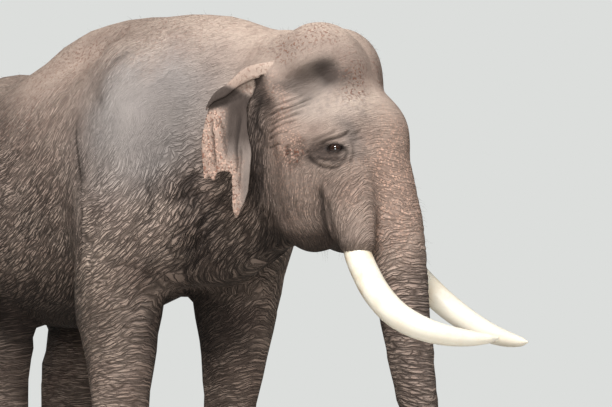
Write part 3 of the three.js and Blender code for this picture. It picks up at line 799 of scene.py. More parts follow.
def buildEar(side):
    hem = tornHem if side < 0 else wholeHem
    outward = np.array(ear["out"]) / np.linalg.norm(ear["out"])
    up = np.array([0, 0, 1.0])
    columns = []
    for i in range(ear["columns"]):
        t = i / (ear["columns"] - 1)
        swell = math.sin(math.pi * (0.25 + 0.75 * t))
        roll = 9 + 15 * swell
        axis = curvePoint(earRim, t) - roll * up
        fall = [axis - roll * outward - 8 * up]
        fall += [curvePoint(line, t) for line in (earUpper, earMiddle, hem)]
        sheet = [(axis + roll * outward - (8 + k * (6 + 34 * swell)) * up, outward) for k in (1, 0.66, 0.33)]
        for j in range(ear["rollRows"]):
            a = math.pi * j / (ear["rollRows"] - 1)
            way = math.cos(a) * outward + math.sin(a) * up
            sheet.append((axis + roll * way - 8 * abs(math.cos(a)) * up, way))
        for j in range(1, ear["fallRows"] + 1):
            sheet.append((curvePoint(fall, j / ear["fallRows"]), -outward))
        columns.append(sheet)
    rows = len(columns[0])
    loose, faces = [], []
    for way in (1, -1):
        for i, sheet in enumerate(columns):
            for j, (p, n) in enumerate(sheet):
                edge = min(i, len(columns) - 1 - i, j, rows - 1 - j) / 3
                half = way * (ear["hem"] + (ear["thickness"] - ear["hem"]) * min(1, edge)) / 2
                q = p + half * n
                loose.append((n @ outward, *q))
    loose = np.array(loose)
    q = loose[:, 1:]
    rise, crease = folded(q[:, [0, 2]], earFolds, earSwells)
    rise += 3 * noise(q, 38) + 1.5 * noise(q + 200, 15)
    q = q + (rise * ramp(-loose[:, 0], 0.6, 1))[:, None] * outward
    points = toRow(fromHead(q * (1, side, 1)))
    total = len(columns) * rows
    for i in range(len(columns) - 1):
        for j in range(rows - 1):
            a, b = i * rows + j, (i + 1) * rows + j
            faces += [(a, b, b + 1, a + 1), (total + a, total + a + 1, total + b + 1, total + b)]
    border = [i * rows for i in range(len(columns))]
    border += [(len(columns) - 1) * rows + j for j in range(1, rows)]
    border += [i * rows + rows - 1 for i in range(len(columns) - 2, -1, -1)]
    border += list(range(rows - 2, 0, -1))
    faces += [(b, a, total + a, total + b) for a, b in zip(border, border[1:] + border[:1])]
    piece = meshObject("ear", points, faces)
    only(piece)
    bpy.ops.object.mode_set(mode="EDIT")
    bpy.ops.mesh.select_all(action="SELECT")
    bpy.ops.mesh.normals_make_consistent(inside=False)
    bpy.ops.object.mode_set(mode="OBJECT")
    # the ear's folds are painted dark the same way: painted shade in the grooves
    setAttribute(piece, "crease", crease * ramp(-loose[:, 0], 0.6, 1))
    return piece


ears = {word: buildEar(side) for word, side in (("left", 1), ("right", -1))}
tell("ears")

# the tusks
tusk = {"sides": 48, "steps": 90, "drop": 32}
tuskStations = [
    (546, 232, 1765, 58), (565, 258, 1662, 60), (625, 304, 1562, 61), (700, 350, 1472, 61),
    (785, 374, 1396, 59),
    (880, 368, 1342, 54), (985, 332, 1306, 46), (1085, 280, 1290, 35), (1160, 234, 1288, 21),
    (1197, 208, 1291, 5),
]


def buildTusk(word, side):
    stations = []
    for f, out, z, radius in tuskStations:
        lower = tusk["drop"] * max(0, (f - 800) / 400) if side > 0 else 0
        stations.append([*fromHead((f, side * out, z - lower)), radius])
    stations = np.array(stations, float)
    rings = []
    for i in range(tusk["steps"] + 1):
        t = 1 - (1 - i / tusk["steps"]) ** 1.15
        middle = curvePoint(stations[:, :3], t)
        along = curvePoint(stations[:, :3], min(1, t + 0.004))
        along = along - curvePoint(stations[:, :3], max(0, t - 0.004))
        along /= np.linalg.norm(along)
        across = np.cross((0, 0, 1), along)
        across /= np.linalg.norm(across)
        up = np.cross(along, across)
        radius = max(smoothValue(stations[:, 3], t), 2.5) if t < 1 else 2.5
        turns = [2 * math.pi * n / tusk["sides"] for n in range(tusk["sides"])]
        rings.append([middle + radius * (math.cos(a) * across + math.sin(a) * up) for a in turns])
    sides = tusk["sides"]
    points = [toRow(p) for ring in rings for p in ring]
    faces = []
    for r in range(len(rings) - 1):
        low, high = r * sides, (r + 1) * sides
        faces += [[low + n, low + (n + 1) % sides, high + (n + 1) % sides, high + n] for n in range(sides)]
    faces.append(list(range(sides))[::-1])
    faces.append([(len(rings) - 1) * sides + n for n in range(sides)])
    piece = meshObject(f"{word}Tusk", points, faces)
    only(piece)
    bpy.ops.object.shade_smooth_by_angle(angle=math.radians(50))
    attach(piece, "root")
    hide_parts(f"tusk_{word}")
    return piece


tusks = {word: buildTusk(word, side) for word, side in (("left", 1), ("right", -1))}
tell("tusks")


# the eyes
def buildEye(word, side):
    f, out, z = head["eye"]
    centre = toRow(fromHead((f, side * out, z)))
    deselectAll()
    size = head["eyeRadius"] / 1000
    bpy.ops.mesh.primitive_uv_sphere_add(segments=64, ring_count=40, radius=size, location=centre)
    piece = bpy.context.object
    piece.name = f"{word}Eye"
    bpy.ops.object.transform_apply(location=True)
    bpy.ops.object.shade_smooth()
    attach(piece, "root")
    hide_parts(f"eye_{word}")
    return piece


eyes = {word: buildEye(word, side) for word, side in (("left", 1), ("right", -1))}

# the nails
# [degrees from straight ahead, half width] round the front of each foot
foreNails = [(-78, 34), (-40, 41), (0, 45), (40, 41), (78, 34)]
hindNails = [(-57, 33), (-19, 39), (19, 39), (57, 33)]
feet = {
    "fore_nail_left": ((600, 325), 216, foreNails), "fore_nail_right": ((600, -325), 216, foreNails),
    "hind_nail_left": ((-760, 205), 185, hindNails), "hind_nail_right": ((-675, -205), 185, hindNails),
}
nail = {"thick": 13, "high": 45, "lean": -0.28, "at": 50}


def buildNail(name, middle, radius, degrees, half):
    deselectAll()
    bpy.ops.mesh.primitive_uv_sphere_add(segments=40, ring_count=24)
    piece = bpy.context.object
    piece.name = name.replace("_", "")
    co = coordsOf(piece)
    # squarer than an egg, thickest at the foot's own skin
    co = np.sign(co) * np.abs(co) ** 0.8 * (nail["thick"], half, nail["high"])
    c, s = math.cos(nail["lean"]), math.sin(nail["lean"])
    co = co @ np.array([[c, 0, s], [0, 1, 0], [-s, 0, c]]).T + (radius - 1, 0, nail["at"])
    c, s = math.cos(math.radians(degrees)), math.sin(math.radians(degrees))
    co = co @ np.array([[c, -s, 0], [s, c, 0], [0, 0, 1]]).T + (*middle, 0)
    setCoords(piece, toRow(co))
    only(piece)
    bpy.ops.object.shade_smooth()
    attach(piece, "root")
    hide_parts(name)
    return piece


nails = []
for name, (middle, radius, plates) in feet.items():
    nails += [buildNail(f"{name}_{i + 1}", middle, radius, *plate) for i, plate in enumerate(plates)]
tell("nails")

# the ears join the skin, which is then thinned where it is plain
for piece in ears.values():
    count = len(piece.data.vertices)
    q = toHead(toBody(coordsOf(piece)))
    setAttribute(piece, "grain", q[:, 0] / 15 + q[:, 2] / 60)
    setAttribute(piece, "furrow", np.full(count, 0.12))
    setAttribute(piece, "wet", np.zeros(count))
    setAttribute(piece, "ear", np.ones(count))
setAttribute(skin, "ear", np.zeros(len(skin.data.vertices)))
for piece in ears.values():
    applied(skin, "BOOLEAN", object=piece, operation="UNION", solver="MANIFOLD")
    bpy.data.objects.remove(piece)
onEar = getAttribute(skin, "ear") > 0.5
a, b = edgesOf(skin)
seam = np.zeros(len(onEar), bool)
seam[a[onEar[a] != onEar[b]]] = True
seam[b[onEar[a] != onEar[b]]] = True
for ring in range(3):
    touched = seam[a] | seam[b]
    seam[a[touched]] = True
    seam[b[touched]] = True
editPoints(skin, seam)
bpy.ops.mesh.vertices_smooth(factor=0.5, repeat=8)
bpy.ops.object.mode_set(mode="OBJECT")
tell("ears joined")

# the head keeps its fine mesh, the rest is thinned more
p = toBody(coordsOf(skin))
keep = np.maximum(nearHead(p) * 0.5, nearEye(p, 60) * 0.9)
keep = np.maximum(keep, getAttribute(skin, "crease") * 0.6)
keep = np.maximum(keep, getAttribute(skin, "ear") * 0.5)
group = skin.vertex_groups.new(name="plain")
for level in np.unique(np.round(1 - keep, 1)):
    chosen = np.nonzero(np.round(1 - keep, 1) == level)[0]
    group.add(chosen.tolist(), float(level), "REPLACE")
total = sum(len(face.vertices) - 2 for face in skin.data.polygons)
applied(skin, "DECIMATE", ratio=skinSize["triangles"] / total, vertex_group="plain", vertex_group_factor=1)
print("skin triangles", total, "thinned to", sum(len(face.vertices) - 2 for face in skin.data.polygons))
only(skin)
bpy.ops.object.shade_smooth()
skin.vertex_groups.clear()
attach(skin, "root")
limbParts = [f"{end}_{what}" for end in ("fore", "hind") for what in ("leg", "foot")]
limbs = [f"{part}_{word}" for part in limbParts for word in ("left", "right")]
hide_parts("body", "neck", "head", "trunk_upper", "trunk_middle", "trunk_lower", "trunk_tip", "tail",
            "ear_left", "ear_right", *limbs)
tell("skin thinned")

# where the hide changes colour, and where light and shade are painted into it
# soft patches: middle, reach (both in millimetres), what they add: [dust, partly painted light; pink; painted
# shade; grey]
# the painted shade darkens the belly, the lower flanks, the brisket, the inner legs and the neck behind the
# jaw
bodyPatches = [
    ((800, 470, 2280), (330, 330, 400), (0, 0, 0, 0.95)),
    ((1000, 330, 2350), (330, 330, 330), (0, 0, 0, 0.8)),
    ((640, 560, 1300), (220, 200, 420), (0, 0.12, 0, 0)), ((0, 560, 1350), (900, 500, 190), (0, 0, 0.85, 0)),
    ((1150, 150, 1560), (300, 420, 200), (0, 0, 0.6, 0)),
    ((1160, 260, 1850), (110, 150, 200), (0, 0, 0.3, 0)),
    ((-800, 300, 1300), (700, 300, 260), (0, 0, 0.5, 0)), ((600, 100, 1300), (600, 250, 300), (0, 0, 0.7, 0)),
    ((0, 0, 1300), (1500, 250, 160), (0, 0, 0.8, 0)), ((1030, 330, 2230), (180, 260, 280), (0, 0, 0.45, 0)),
    # dust on the front of the upper arm, painted light where that side is lit, and dust on the chest
    ((670, 560, 1420), (190, 200, 300), (0.75, 0, 0, 0)), ((960, 330, 1800), (140, 260, 160), (0.4, 0, 0, 0)),
]
# the painted shade darkens the neck behind the ear, under the jaw and cheek, the temple hollow, the hollow
# under the ear's roll and round the eye; the dust on the brow and forehead is partly painted light
headPatches = [
    ((60, 290, 2020), (70, 120, 420), (0, 0, 0.75, 0)), ((300, 150, 1680), (330, 240, 90), (0, 0, 0.7, 0)),
    ((400, 240, 2438), (95, 110, 52), (0, 0, 0.75, 0.5)),
    ((310, 300, 2392), (110, 120, 46), (0, 0, 0.5, 0.4)),
    ((430, 240, 2300), (190, 180, 90), (0.5, 0, 0, 0.5)),
    ((560, 100, 2330), (120, 160, 80), (0.55, 0, 0, 0.2)),
    ((640, 60, 2080), (110, 150, 200), (0, 0.9, 0, 0)), ((660, 40, 1850), (120, 130, 260), (0, 1, 0, 0)),
    ((560, 190, 1960), (90, 120, 130), (0, 0.6, 0, 0)), ((560, 180, 1830), (110, 120, 150), (0, 0.55, 0, 0)),
    ((220, 330, 2150), (80, 90, 130), (0, 0.45, 0, 0)), ((210, 300, 2330), (60, 80, 130), (0, 0.3, 0, 0)),
    ((275, 330, 2110), (48, 80, 62), (0, 0.2, 0.7, 0)), ((280, 320, 1900), (150, 120, 120), (0, 0.25, 0, 0)),
    ((452, 300, 2070), (88, 110, 40), (0, 0, 1, 0.5)), ((540, 250, 2120), (45, 90, 70), (0, 0, 0.35, 0.3)),
    ((470, 300, 2128), (60, 90, 26), (0, 0, 0.9, 0)), ((122, 310, 2360), (48, 90, 95), (0, 0, 1, 0)),
    ((520, 210, 2200), (60, 110, 40), (0, 0, 0.35, 0.4)),
    ((760, 0, 1200), (200, 160, 400), (0, 0.2, 0.1, 0.3)),
    ((230, 230, 2620), (260, 200, 120), (0.3, 0, 0.12, 0)),
    ((500, 140, 2420), (90, 140, 110), (0.1, 0.15, 0.15, 0)),
    ((330, 300, 1930), (280, 200, 250), (0, 0.1, 0.58, 0)),
    ((300, 150, 1720), (300, 240, 110), (0, 0, 0.5, 0)),
    ((330, 200, 2480), (320, 260, 230), (0, 0, 0.26, 0.1)), ((455, 300, 2095), (80, 100, 58), (0, 0, 0.7, 0)),
    ((330, 300, 2110), (90, 120, 60), (0, 0, 0.3, 0)),
]
# specks of dried mud, the same way: middle, reach, how many
bodyMud = [((0, 0, 2620), (900, 520, 190), 0.8), ((700, 0, 2780), (500, 300, 120), 0.5),
           ((-100, 480, 2330), (300, 160, 150), 0.55)]
headMud = [((520, 130, 2420), (70, 130, 140), 1), ((270, 190, 2620), (200, 160, 90), 0.8),
           ((190, 300, 2250), (40, 60, 170), 0.6), ((275, 330, 2105), (52, 70, 66), 1)]


def patchwork(p, patches):
    total = 0
    for middle, reach, gain in patches:
        near = np.exp(-(((p - middle) / reach) ** 2).sum(1) ** 1.5)
        total = total + near[:, None] * np.atleast_1d(gain)
    return total


def paint(piece):
    p, n = toBody(coordsOf(piece)), normalsOf(piece)
    q = toHead(p)
    q[:, 1] = np.abs(q[:, 1])
    mirrored = np.column_stack([p[:, 0], np.abs(p[:, 1]), p[:, 2]])
    blur = np.column_stack([noise(p + 100 * i, 110) for i in range(3)]) * 45
    onEar = getAttribute(piece, "ear")[:, None]
    zones = patchwork(mirrored + blur, bodyPatches) + patchwork(q + blur, headPatches) * (1 - onEar)
    # dust on the surfaces that face up high on the back and head, also painted light where the light from
    # above falls
    zones[:, 0] += 0.6 * ramp(n[:, 2], 0.25, 0.95) * ramp(p[:, 2], 2250, 2600)
    mud = patchwork(mirrored + blur, bodyMud) + patchwork(q + blur, headMud) * (1 - onEar)
    # the ear: a pink speckled rear and lower flap, a smooth grey front under painted shade that deepens
    # towards the roll, a pale roll along its top
    f, z = q[:, 0] + blur[:, 0] * 0.25, q[:, 2] + blur[:, 1] * 0.25
    pinkEar = (1 - ramp(f, -45, 10)) * (1 - ramp(z, 2280, 2320))
    pinkEar = pinkEar + (1 - ramp(z, 2030, 2110)) * ramp(30 - f, -60, 0)
    rolled = ramp(z + 0.5 * f, 2395, 2425)
    plain = 1 - np.clip(pinkEar + rolled, 0, 1)
    # painted shade on the grey front, the roll's shadow, deepest just under the roll
    shade = 0.5 + 0.48 * ramp(z, 2080, 2180)
    earZones = np.column_stack([0.2 * rolled, 0.7 * np.clip(pinkEar, 0, 1), shade * plain, 0.5 * plain])
    zones = np.where(onEar > 0.5, earZones, zones)
    setAttribute(piece, "zones", np.clip(zones, 0, 1))
    crease = np.clip(getAttribute(piece, "crease"), 0, 1)
    pebble = np.clip(1 - getAttribute(piece, "furrow"), 0.2, 1) * (1 - 0.7 * onEar[:, 0])
    mud = np.where(onEar > 0.5, 0.75 * np.clip(pinkEar + 0.5 * rolled, 0, 1)[:, None], mud)
    # the creases and the wet marks carried here paint shade into the folds, furrows, nostrils and the eye's
    # corners
    shadeAndFinish = [crease, pebble, np.clip(mud[:, 0], 0, 1), getAttribute(piece, "wet")]
    setAttribute(piece, "shadeAndFinish", np.column_stack(shadeAndFinish))


paint(skin)
tell("skin painted")


# what the nodes are told most often
times, plus, smooth, colours = [{"operation": "MULTIPLY"}, {"operation": "ADD"},
                                {"interpolation_type": "SMOOTHSTEP"}, {"data_type": "RGBA"}]


# an sRGB hex code as linear light
def linear(code):
    parts = [int(code[i:i + 2], 16) / 255 for i in (1, 3, 5)]
    return (*[c / 12.92 if c < 0.04045 else ((c + 0.055) / 1.055) ** 2.4 for c in parts], 1)


# adds one node with its settings, links or sets its sockets by name or number, and gives the output asked for
def adder(tree):
    def add(kind, sockets=(), out=0, **settings):
        node = tree.nodes.new("ShaderNode" + kind)
        for key, value in settings.items():
            setattr(node, key, value)
        for key, value in sockets.items() if isinstance(sockets, dict) else enumerate(sockets):
            if isinstance(value, bpy.types.NodeSocket):
                tree.links.new(value, node.inputs[key])
            else:
                node.inputs[key].default_value = value
        return node.outputs[out] if node.outputs else node
    return add


def newMaterial(name):
    made = bpy.data.materials.new(name)
    made.use_nodes = True
    made.node_tree.nodes.clear()
    return made, adder(made.node_tree)


# the hide's colours: dust is partly painted light, dark is painted shade for the undersides and hollows,
# crease paints shade into the furrows, cracks and folds, and wet darkens the lid rims and paints shade into
# the eye's corners
hide = {
    "ridge": "#AD998C", "shaded": "#9A8579", "crease": "#1E1612", "dustAndLight": "#CDB9A8", "flush": "#9F8678",
    "pink": "#DDB49F", "grey": "#95908D", "paintedShade": "#332924", "mud": "#7E4A35", "wet": "#1C1412",
    "creaseDepth": 0.015, "pebbleDepth": 0.0009, "mudDepth": 0.006, "gritDepth": 0.0006,
    "along": 135, "pebble": 6, "dot": 13, "roughness": 0.86,
}
# patches of noise: size in millimetres, detail, roughness
hidePatches = {
    "wander": (120, 2, 0.6), "uneven": (140, 3, 0.6), "grit": (3, 2, 0.5), "blotch": (160, 4, 0.6),
    "mottle": (22, 3, 0.6), "patches": (34, 3, 0.6), "spots": (13, 2, 0.6),
}


# dry wrinkled hide: pale worn ridges between furrows darkened with painted shade, dust on top that is partly
# painted light, painted shade on the undersides and in the hollows, freckled pink on the face
def hideMaterial():
    made, add = newMaterial("elephant hide")
    place = add("TexCoord", out="Object")
    grain, furrow = [add("Attribute", out="Fac", attribute_name=name) for name in ("grain", "furrow")]
    zones, grey = [add("Attribute", out=out, attribute_name="zones") for out in ("Color", "Alpha")]
    shadeAndFinish, wet = [add("Attribute", out=out, attribute_name="shadeAndFinish") for out in ("Color", "Alpha")]
    dustAndLight, pink, paintedShade = add("SeparateColor", [zones]).node.outputs
    crease, pebble, mud = add("SeparateColor", [shadeAndFinish]).node.outputs
    patch = {
        name: add("TexNoise", {"Vector": place, "Scale": 1000 / size, "Detail": detail, "Roughness": rough})
        for name, (size, detail, rough) in hidePatches.items()}

    # furrows: long cells that follow the lie of the hide and are counted across it by the grain
    count = add("Math", [grain, patch["wander"]], **plus)
    x, y, z = add("SeparateXYZ", [place]).node.outputs

    def furrows(across, along, width):
        flat = add("Math", [
            add("Math", [x, 900 / along], **times), add("Math", [y, 500 / along], **times)], **plus)
        spot = add("CombineXYZ", [
            flat, add("Math", [z, 1000 / along], **times), add("Math", [count, across], **times)])
        edge = add("TexVoronoi", {
            "Vector": spot, "Scale": 1.0, "Randomness": 0.95}, feature="DISTANCE_TO_EDGE")
        return add("MapRange", [edge, 0.0, width, 1.0, 0.0], **smooth)

    # shallow skin keeps the fine furrows and loses the broad ones
    uneven = add("MapRange", [patch["uneven"], 0.3, 0.62, 0.75, 1.0], **smooth)
    broad = add("MapRange", [furrow, 0.1, 0.6, 0.45, 1.0], **smooth)
    main = add("Math", [furrows(1.7, hide["along"], 0.17), uneven], **times)
    main = add("Math", [main, broad], **times)
    fine = add("Math", [furrows(3.4, hide["along"] * 0.4, 0.15), 0.6], **times)
    furrowed = add("Math", [add("Math", [main, fine], operation="MAXIMUM"), furrow], **times)
    cells = add("TexVoronoi", {"Vector": place, "Scale": 1000 / hide["pebble"]}, feature="DISTANCE_TO_EDGE")
    cracks = add("Math", [add("MapRange", [cells, 0.0, 0.16, 1.0, 0.0], **smooth), pebble], **times)

    # skin that has lost its grey is flushed, with pink dots that run together in places
    dots = add("TexVoronoi", {"Vector": place, "Scale": 1000 / hide["dot"]}, feature="F1")
    dots = add("Math", [dots, add("Math", [patch["patches"], -0.5], **times)], **plus)
    dots = add("Math", [add("MapRange", [dots, 0.04, 0.2, 1.0, 0.0], **smooth), pink], **times)
    dustAndLightShare = add("Math", [dustAndLight, add("MapRange", [patch["mottle"], 0.3, 0.62, 0.15, 0.9], **smooth)], **times)
    muddy = add("Math", [add("MapRange", [patch["spots"], 0.56, 0.62, 0.0, 1.0], **smooth), mud], **times)
    blotch = add("MapRange", [patch["blotch"], 0.35, 0.65, 0.0, 1.0], **smooth)
    colour = add("Mix", {0: blotch, 6: linear(hide["ridge"]), 7: linear(hide["shaded"])}, 2, **colours)
    # each colour lies over the ones before it: where, how much, which. The dust layer is partly painted light;
    # the dark layer, the three crease layers and part of the wet layer are painted shade
    for share, most, over in (
            (grey, 0.8, "grey"), (dustAndLightShare, 0.85, "dustAndLight"), (paintedShade, 0.92, "paintedShade"), (pink, 0.8, "flush"),
            (dots, 0.75, "pink"), (muddy, 0.8, "mud"), (furrowed, 0.93, "crease"), (cracks, 0.14, "crease"),
            (crease, 0.75, "crease"), (wet, 1.0, "wet")):
        share = add("Math", [share, most], **times)
        colour = add("Mix", {0: share, 6: colour, 7: linear(hide[over])}, 2, **colours)

    # heights in metres
    height = add("Math", [furrowed, -hide["creaseDepth"]], **times)
    for part, depth in (
            (cracks, -hide["pebbleDepth"]), (patch["grit"], hide["gritDepth"]), (muddy, hide["mudDepth"])):
        height = add("Math", [height, add("Math", [part, depth], **times)], **plus)
    bump = add("Bump", {"Height": height, "Distance": 1.0, "Strength": 1.0})
    damp = add("Math", [wet, 0.45], **times)
    surface = add("BsdfPrincipled", {
        "Base Color": colour, "Roughness": add("Math", [hide["roughness"], damp], operation="SUBTRACT"),
        "IOR": 1.45, "Normal": bump, "Specular IOR Level": 0.3})
    add("OutputMaterial", {"Surface": surface})
    return made


skin.data.materials.clear()
skin.data.materials.append(hideMaterial())

ivory = {"colour": "#E8E1D1", "stain": "#CDB38C", "roughness": 0.32, "cloud": 9.0, "streak": 60.0}


# old ivory: nearly white, a little yellow near the gum, with fine grain along it
def ivoryMaterial():
    made, add = newMaterial("old ivory")
    place = add("TexCoord", out="Object")
    root = add("Attribute", out="Fac", attribute_name="root")
    cloud = add("TexNoise", {"Vector": place, "Scale": ivory["cloud"], "Detail": 4.0})
    streak = add("TexNoise", {"Vector": place, "Scale": ivory["streak"], "Detail": 3.0})
    stain = add("Math", [
        add("MapRange", [cloud, 0.4, 0.75, 0.0, 1.0], **smooth), add("Math", [root, 0.15], **plus)],
        use_clamp=True, **times)
    colour = add("Mix", {0: stain, 6: linear(ivory["colour"]), 7: linear(ivory["stain"])}, 2, **colours)
    streaks = add("Math", [add("MapRange", [streak, 0.55, 0.75, 0.0, 1.0], **smooth), 0.2], **times)
    colour = add("Mix", {0: streaks, 6: colour, 7: linear(ivory["stain"])}, 2, **colours)
    bump = add("Bump", {"Height": add("Math", [streak, 0.0006], **times), "Distance": 1.0})
    surface = add("BsdfPrincipled", {
        "Base Color": colour, "Roughness": ivory["roughness"], "IOR": 1.54, "Normal": bump,
        "Subsurface Weight": 0.08, "Subsurface Radius": (0.012, 0.009, 0.006), "Subsurface Scale": 1.0})
    add("OutputMaterial", {"Surface": surface})
    return made


ivoryLook = ivoryMaterial()
for piece in tusks.values():
    q = toHead(toBody(coordsOf(piece)))
    setAttribute(piece, "root", 1 - ramp(q[:, 0], 600, 800))
    piece.data.materials.append(ivoryLook)

# how far round from the middle of the pupil, in degrees, the pupil and the iris end
eyeLook = {
    "iris": "#3A2012", "rim": "#160C06", "pupil": "#040302", "white": "#2A1C16", "irisAt": 36, "pupilAt": 15}


# a dark brown eye, wet and glossy
def eyeMaterial():
    made, add = newMaterial("wet brown eye")
    gaze = add("Attribute", out="Fac", attribute_name="gaze")
    fibres = add("TexNoise", {"Vector": add("TexCoord", out="Object"), "Scale": 400.0, "Detail": 3.0})
    pupil, rim = math.radians(eyeLook["pupilAt"]), math.radians(eyeLook["irisAt"])
    fibres = add("MapRange", [fibres, 0.35, 0.65, 0.0, 1.0], **smooth)
    iris = add("Mix", {0: fibres, 6: linear(eyeLook["iris"]), 7: linear(eyeLook["rim"])}, 2, **colours)
    past = add("MapRange", [gaze, pupil, pupil + 0.05, 0.0, 1.0], **smooth)
    colour = add("Mix", {0: past, 6: linear(eyeLook["pupil"]), 7: iris}, 2, **colours)
    for start, end, over in ((rim - 0.12, rim, "rim"), (rim, rim + 0.1, "white")):
        past = add("MapRange", [gaze, start, end, 0.0, 1.0], **smooth)
        colour = add("Mix", {0: past, 6: colour, 7: linear(eyeLook[over])}, 2, **colours)
    surface = add("BsdfPrincipled", {
        "Base Color": colour, "Roughness": 0.08, "IOR": 1.38, "Coat Weight": 1.0, "Coat Roughness": 0.02})
    add("OutputMaterial", {"Surface": surface})
    return made


eyeShine = eyeMaterial()
for word, side in (("left", 1), ("right", -1)):
    piece = eyes[word]
    q = toHead(toBody(coordsOf(piece))) - (head["eye"][0], side * head["eye"][1], head["eye"][2])
    # it looks outward, a little ahead and down
    gaze = np.array([0.35, side * 0.93, 0.08])
    along = (q @ gaze) / np.linalg.norm(q, axis=1) / np.linalg.norm(gaze)
    setAttribute(piece, "gaze", np.arccos(np.clip(along, -1, 1)))
    piece.data.materials.append(eyeShine)

horn = {"pale": "#B8A894", "deep": "#7D6C5C", "roughness": 0.55, "across": 12.0, "up": 160.0}


# dull horn with fine growth lines
def hornMaterial():
    made, add = newMaterial("toenail horn")
    squash = add("Mapping", {
        "Vector": add("TexCoord", out="Object"), "Scale": (horn["across"], horn["across"], horn["up"])})
    lines = add("TexNoise", {"Vector": squash, "Scale": 1.0, "Detail": 4.0})
    share = add("MapRange", [lines, 0.35, 0.65, 0.0, 1.0], **smooth)
    colour = add("Mix", {0: share, 6: linear(horn["pale"]), 7: linear(horn["deep"])}, 2, **colours)
    bump = add("Bump", {"Height": add("Math", [lines, 0.002], **times), "Distance": 1.0})
    surface = add("BsdfPrincipled", {
        "Base Color": colour, "Roughness": horn["roughness"], "IOR": 1.54, "Normal": bump})
    add("OutputMaterial", {"Surface": surface})
    return made


hornLook = hornMaterial()
for piece in nails:
    piece.data.materials.append(hornLook)
tell("materials")

# sparse hair: a tuft on the tail, bristles on the head and back, lashes round the eyes
hairSets = {
    # piece: how many, shortest and longest in millimetres, thickness at the root
    "tailTuft": {"count": 130, "long": (120, 260), "thick": 1.4, "bend": 0.35, "colour": "#17120F"},
    "headBristles": {"count": 320, "long": (14, 34), "thick": 0.35, "bend": 0.5, "colour": "#4A3D35"},
    "backBristles": {"count": 260, "long": (14, 32), "thick": 0.35, "bend": 0.6, "colour": "#3A302A"},
    "chinBristles": {"count": 200, "long": (20, 46), "thick": 0.4, "bend": 0.5, "colour": "#2B2420"},
    "lashes": {"count": 90, "long": (22, 42), "thick": 0.5, "bend": 0.45, "colour": "#100C0A"},
}
skinNormals, skinPoints = normalsOf(skin), toBody(coordsOf(skin))
chance = np.random.default_rng(11)

# an unwrap of the skin's own shape, which gives every hair its place on the coat's map
only(skin)
bpy.ops.object.mode_set(mode="EDIT")
bpy.ops.mesh.select_all(action="SELECT")
bpy.ops.uv.smart_project(angle_limit=math.radians(66), island_margin=0.001)
bpy.ops.object.mode_set(mode="OBJECT")
skin.data.uv_layers.active.name = "OFBake"
corners = np.empty(len(skin.data.loops), int)
skin.data.loops.foreach_get("vertex_index", corners)
spots = np.empty(len(skin.data.loops) * 2)
skin.data.uv_layers["OFBake"].data.foreach_get("uv", spots)
unwrapped = np.zeros((len(skinPoints), 2))
unwrapped[corners] = spots.reshape(-1, 2)


# where each set grows: a weight for every point of the skin
def growth(name):
    p, n = skinPoints, skinNormals
    q = toHead(p)
    side = np.abs(q[:, 1])
    bare = getAttribute(skin, "ear") > 0.5
    if name == "tailTuft":
        return (p[:, 2] < 1330) * (p[:, 2] > 1030) * (p[:, 0] < -1340) * (0.1 + np.abs(n[:, 0]) ** 3)
    if name == "headBristles":
        return ramp(q[:, 2], 2430, 2700) * (q[:, 0] > 60) * (q[:, 0] < 640) * ~bare
    if name == "backBristles":
        return ramp(p[:, 2], 2250, 2600) * (q[:, 0] < 40) * ramp(n[:, 2], 0.2, 0.8) * ~bare
    if name == "chinBristles":
        chin = np.exp(-(((q - (480, 0, 1640)) / (150, 190, 130)) ** 2).sum(1))
        trunk = 0.3 * ramp(q[:, 0], 600, 680) * (p[:, 2] > 200) * (p[:, 2] < 2000)
        return np.maximum(chin, trunk) * (side < 260)
    u, v = q[:, 0] - lids["at"][0], q[:, 2] - lids["at"][1]
    high = np.where(v > 0, lids["above"], lids["below"])
    norm = (np.abs(u / lids["half"]) ** 1.7 + np.abs(v / high) ** 1.7) ** 0.588
    return (np.abs(norm - 1.12) < 0.1) * (side > 200) * (np.abs(u) < 60) * np.where(v > 0, 1, 0.25)


# which way the hair leans: down the tail, back along the body, out and down from the lids
def leaning(name, p):
    if name == "tailTuft":
        return np.array([0, 0, -1.0])
    if name == "lashes":
        return fromHead(np.array([0.5, 0, -1.0])) - headAt
    if name == "backBristles":
        return np.array([-0.9, 0, 0.1])
    return fromHead(np.array([-0.2, 0, -0.7])) - headAt


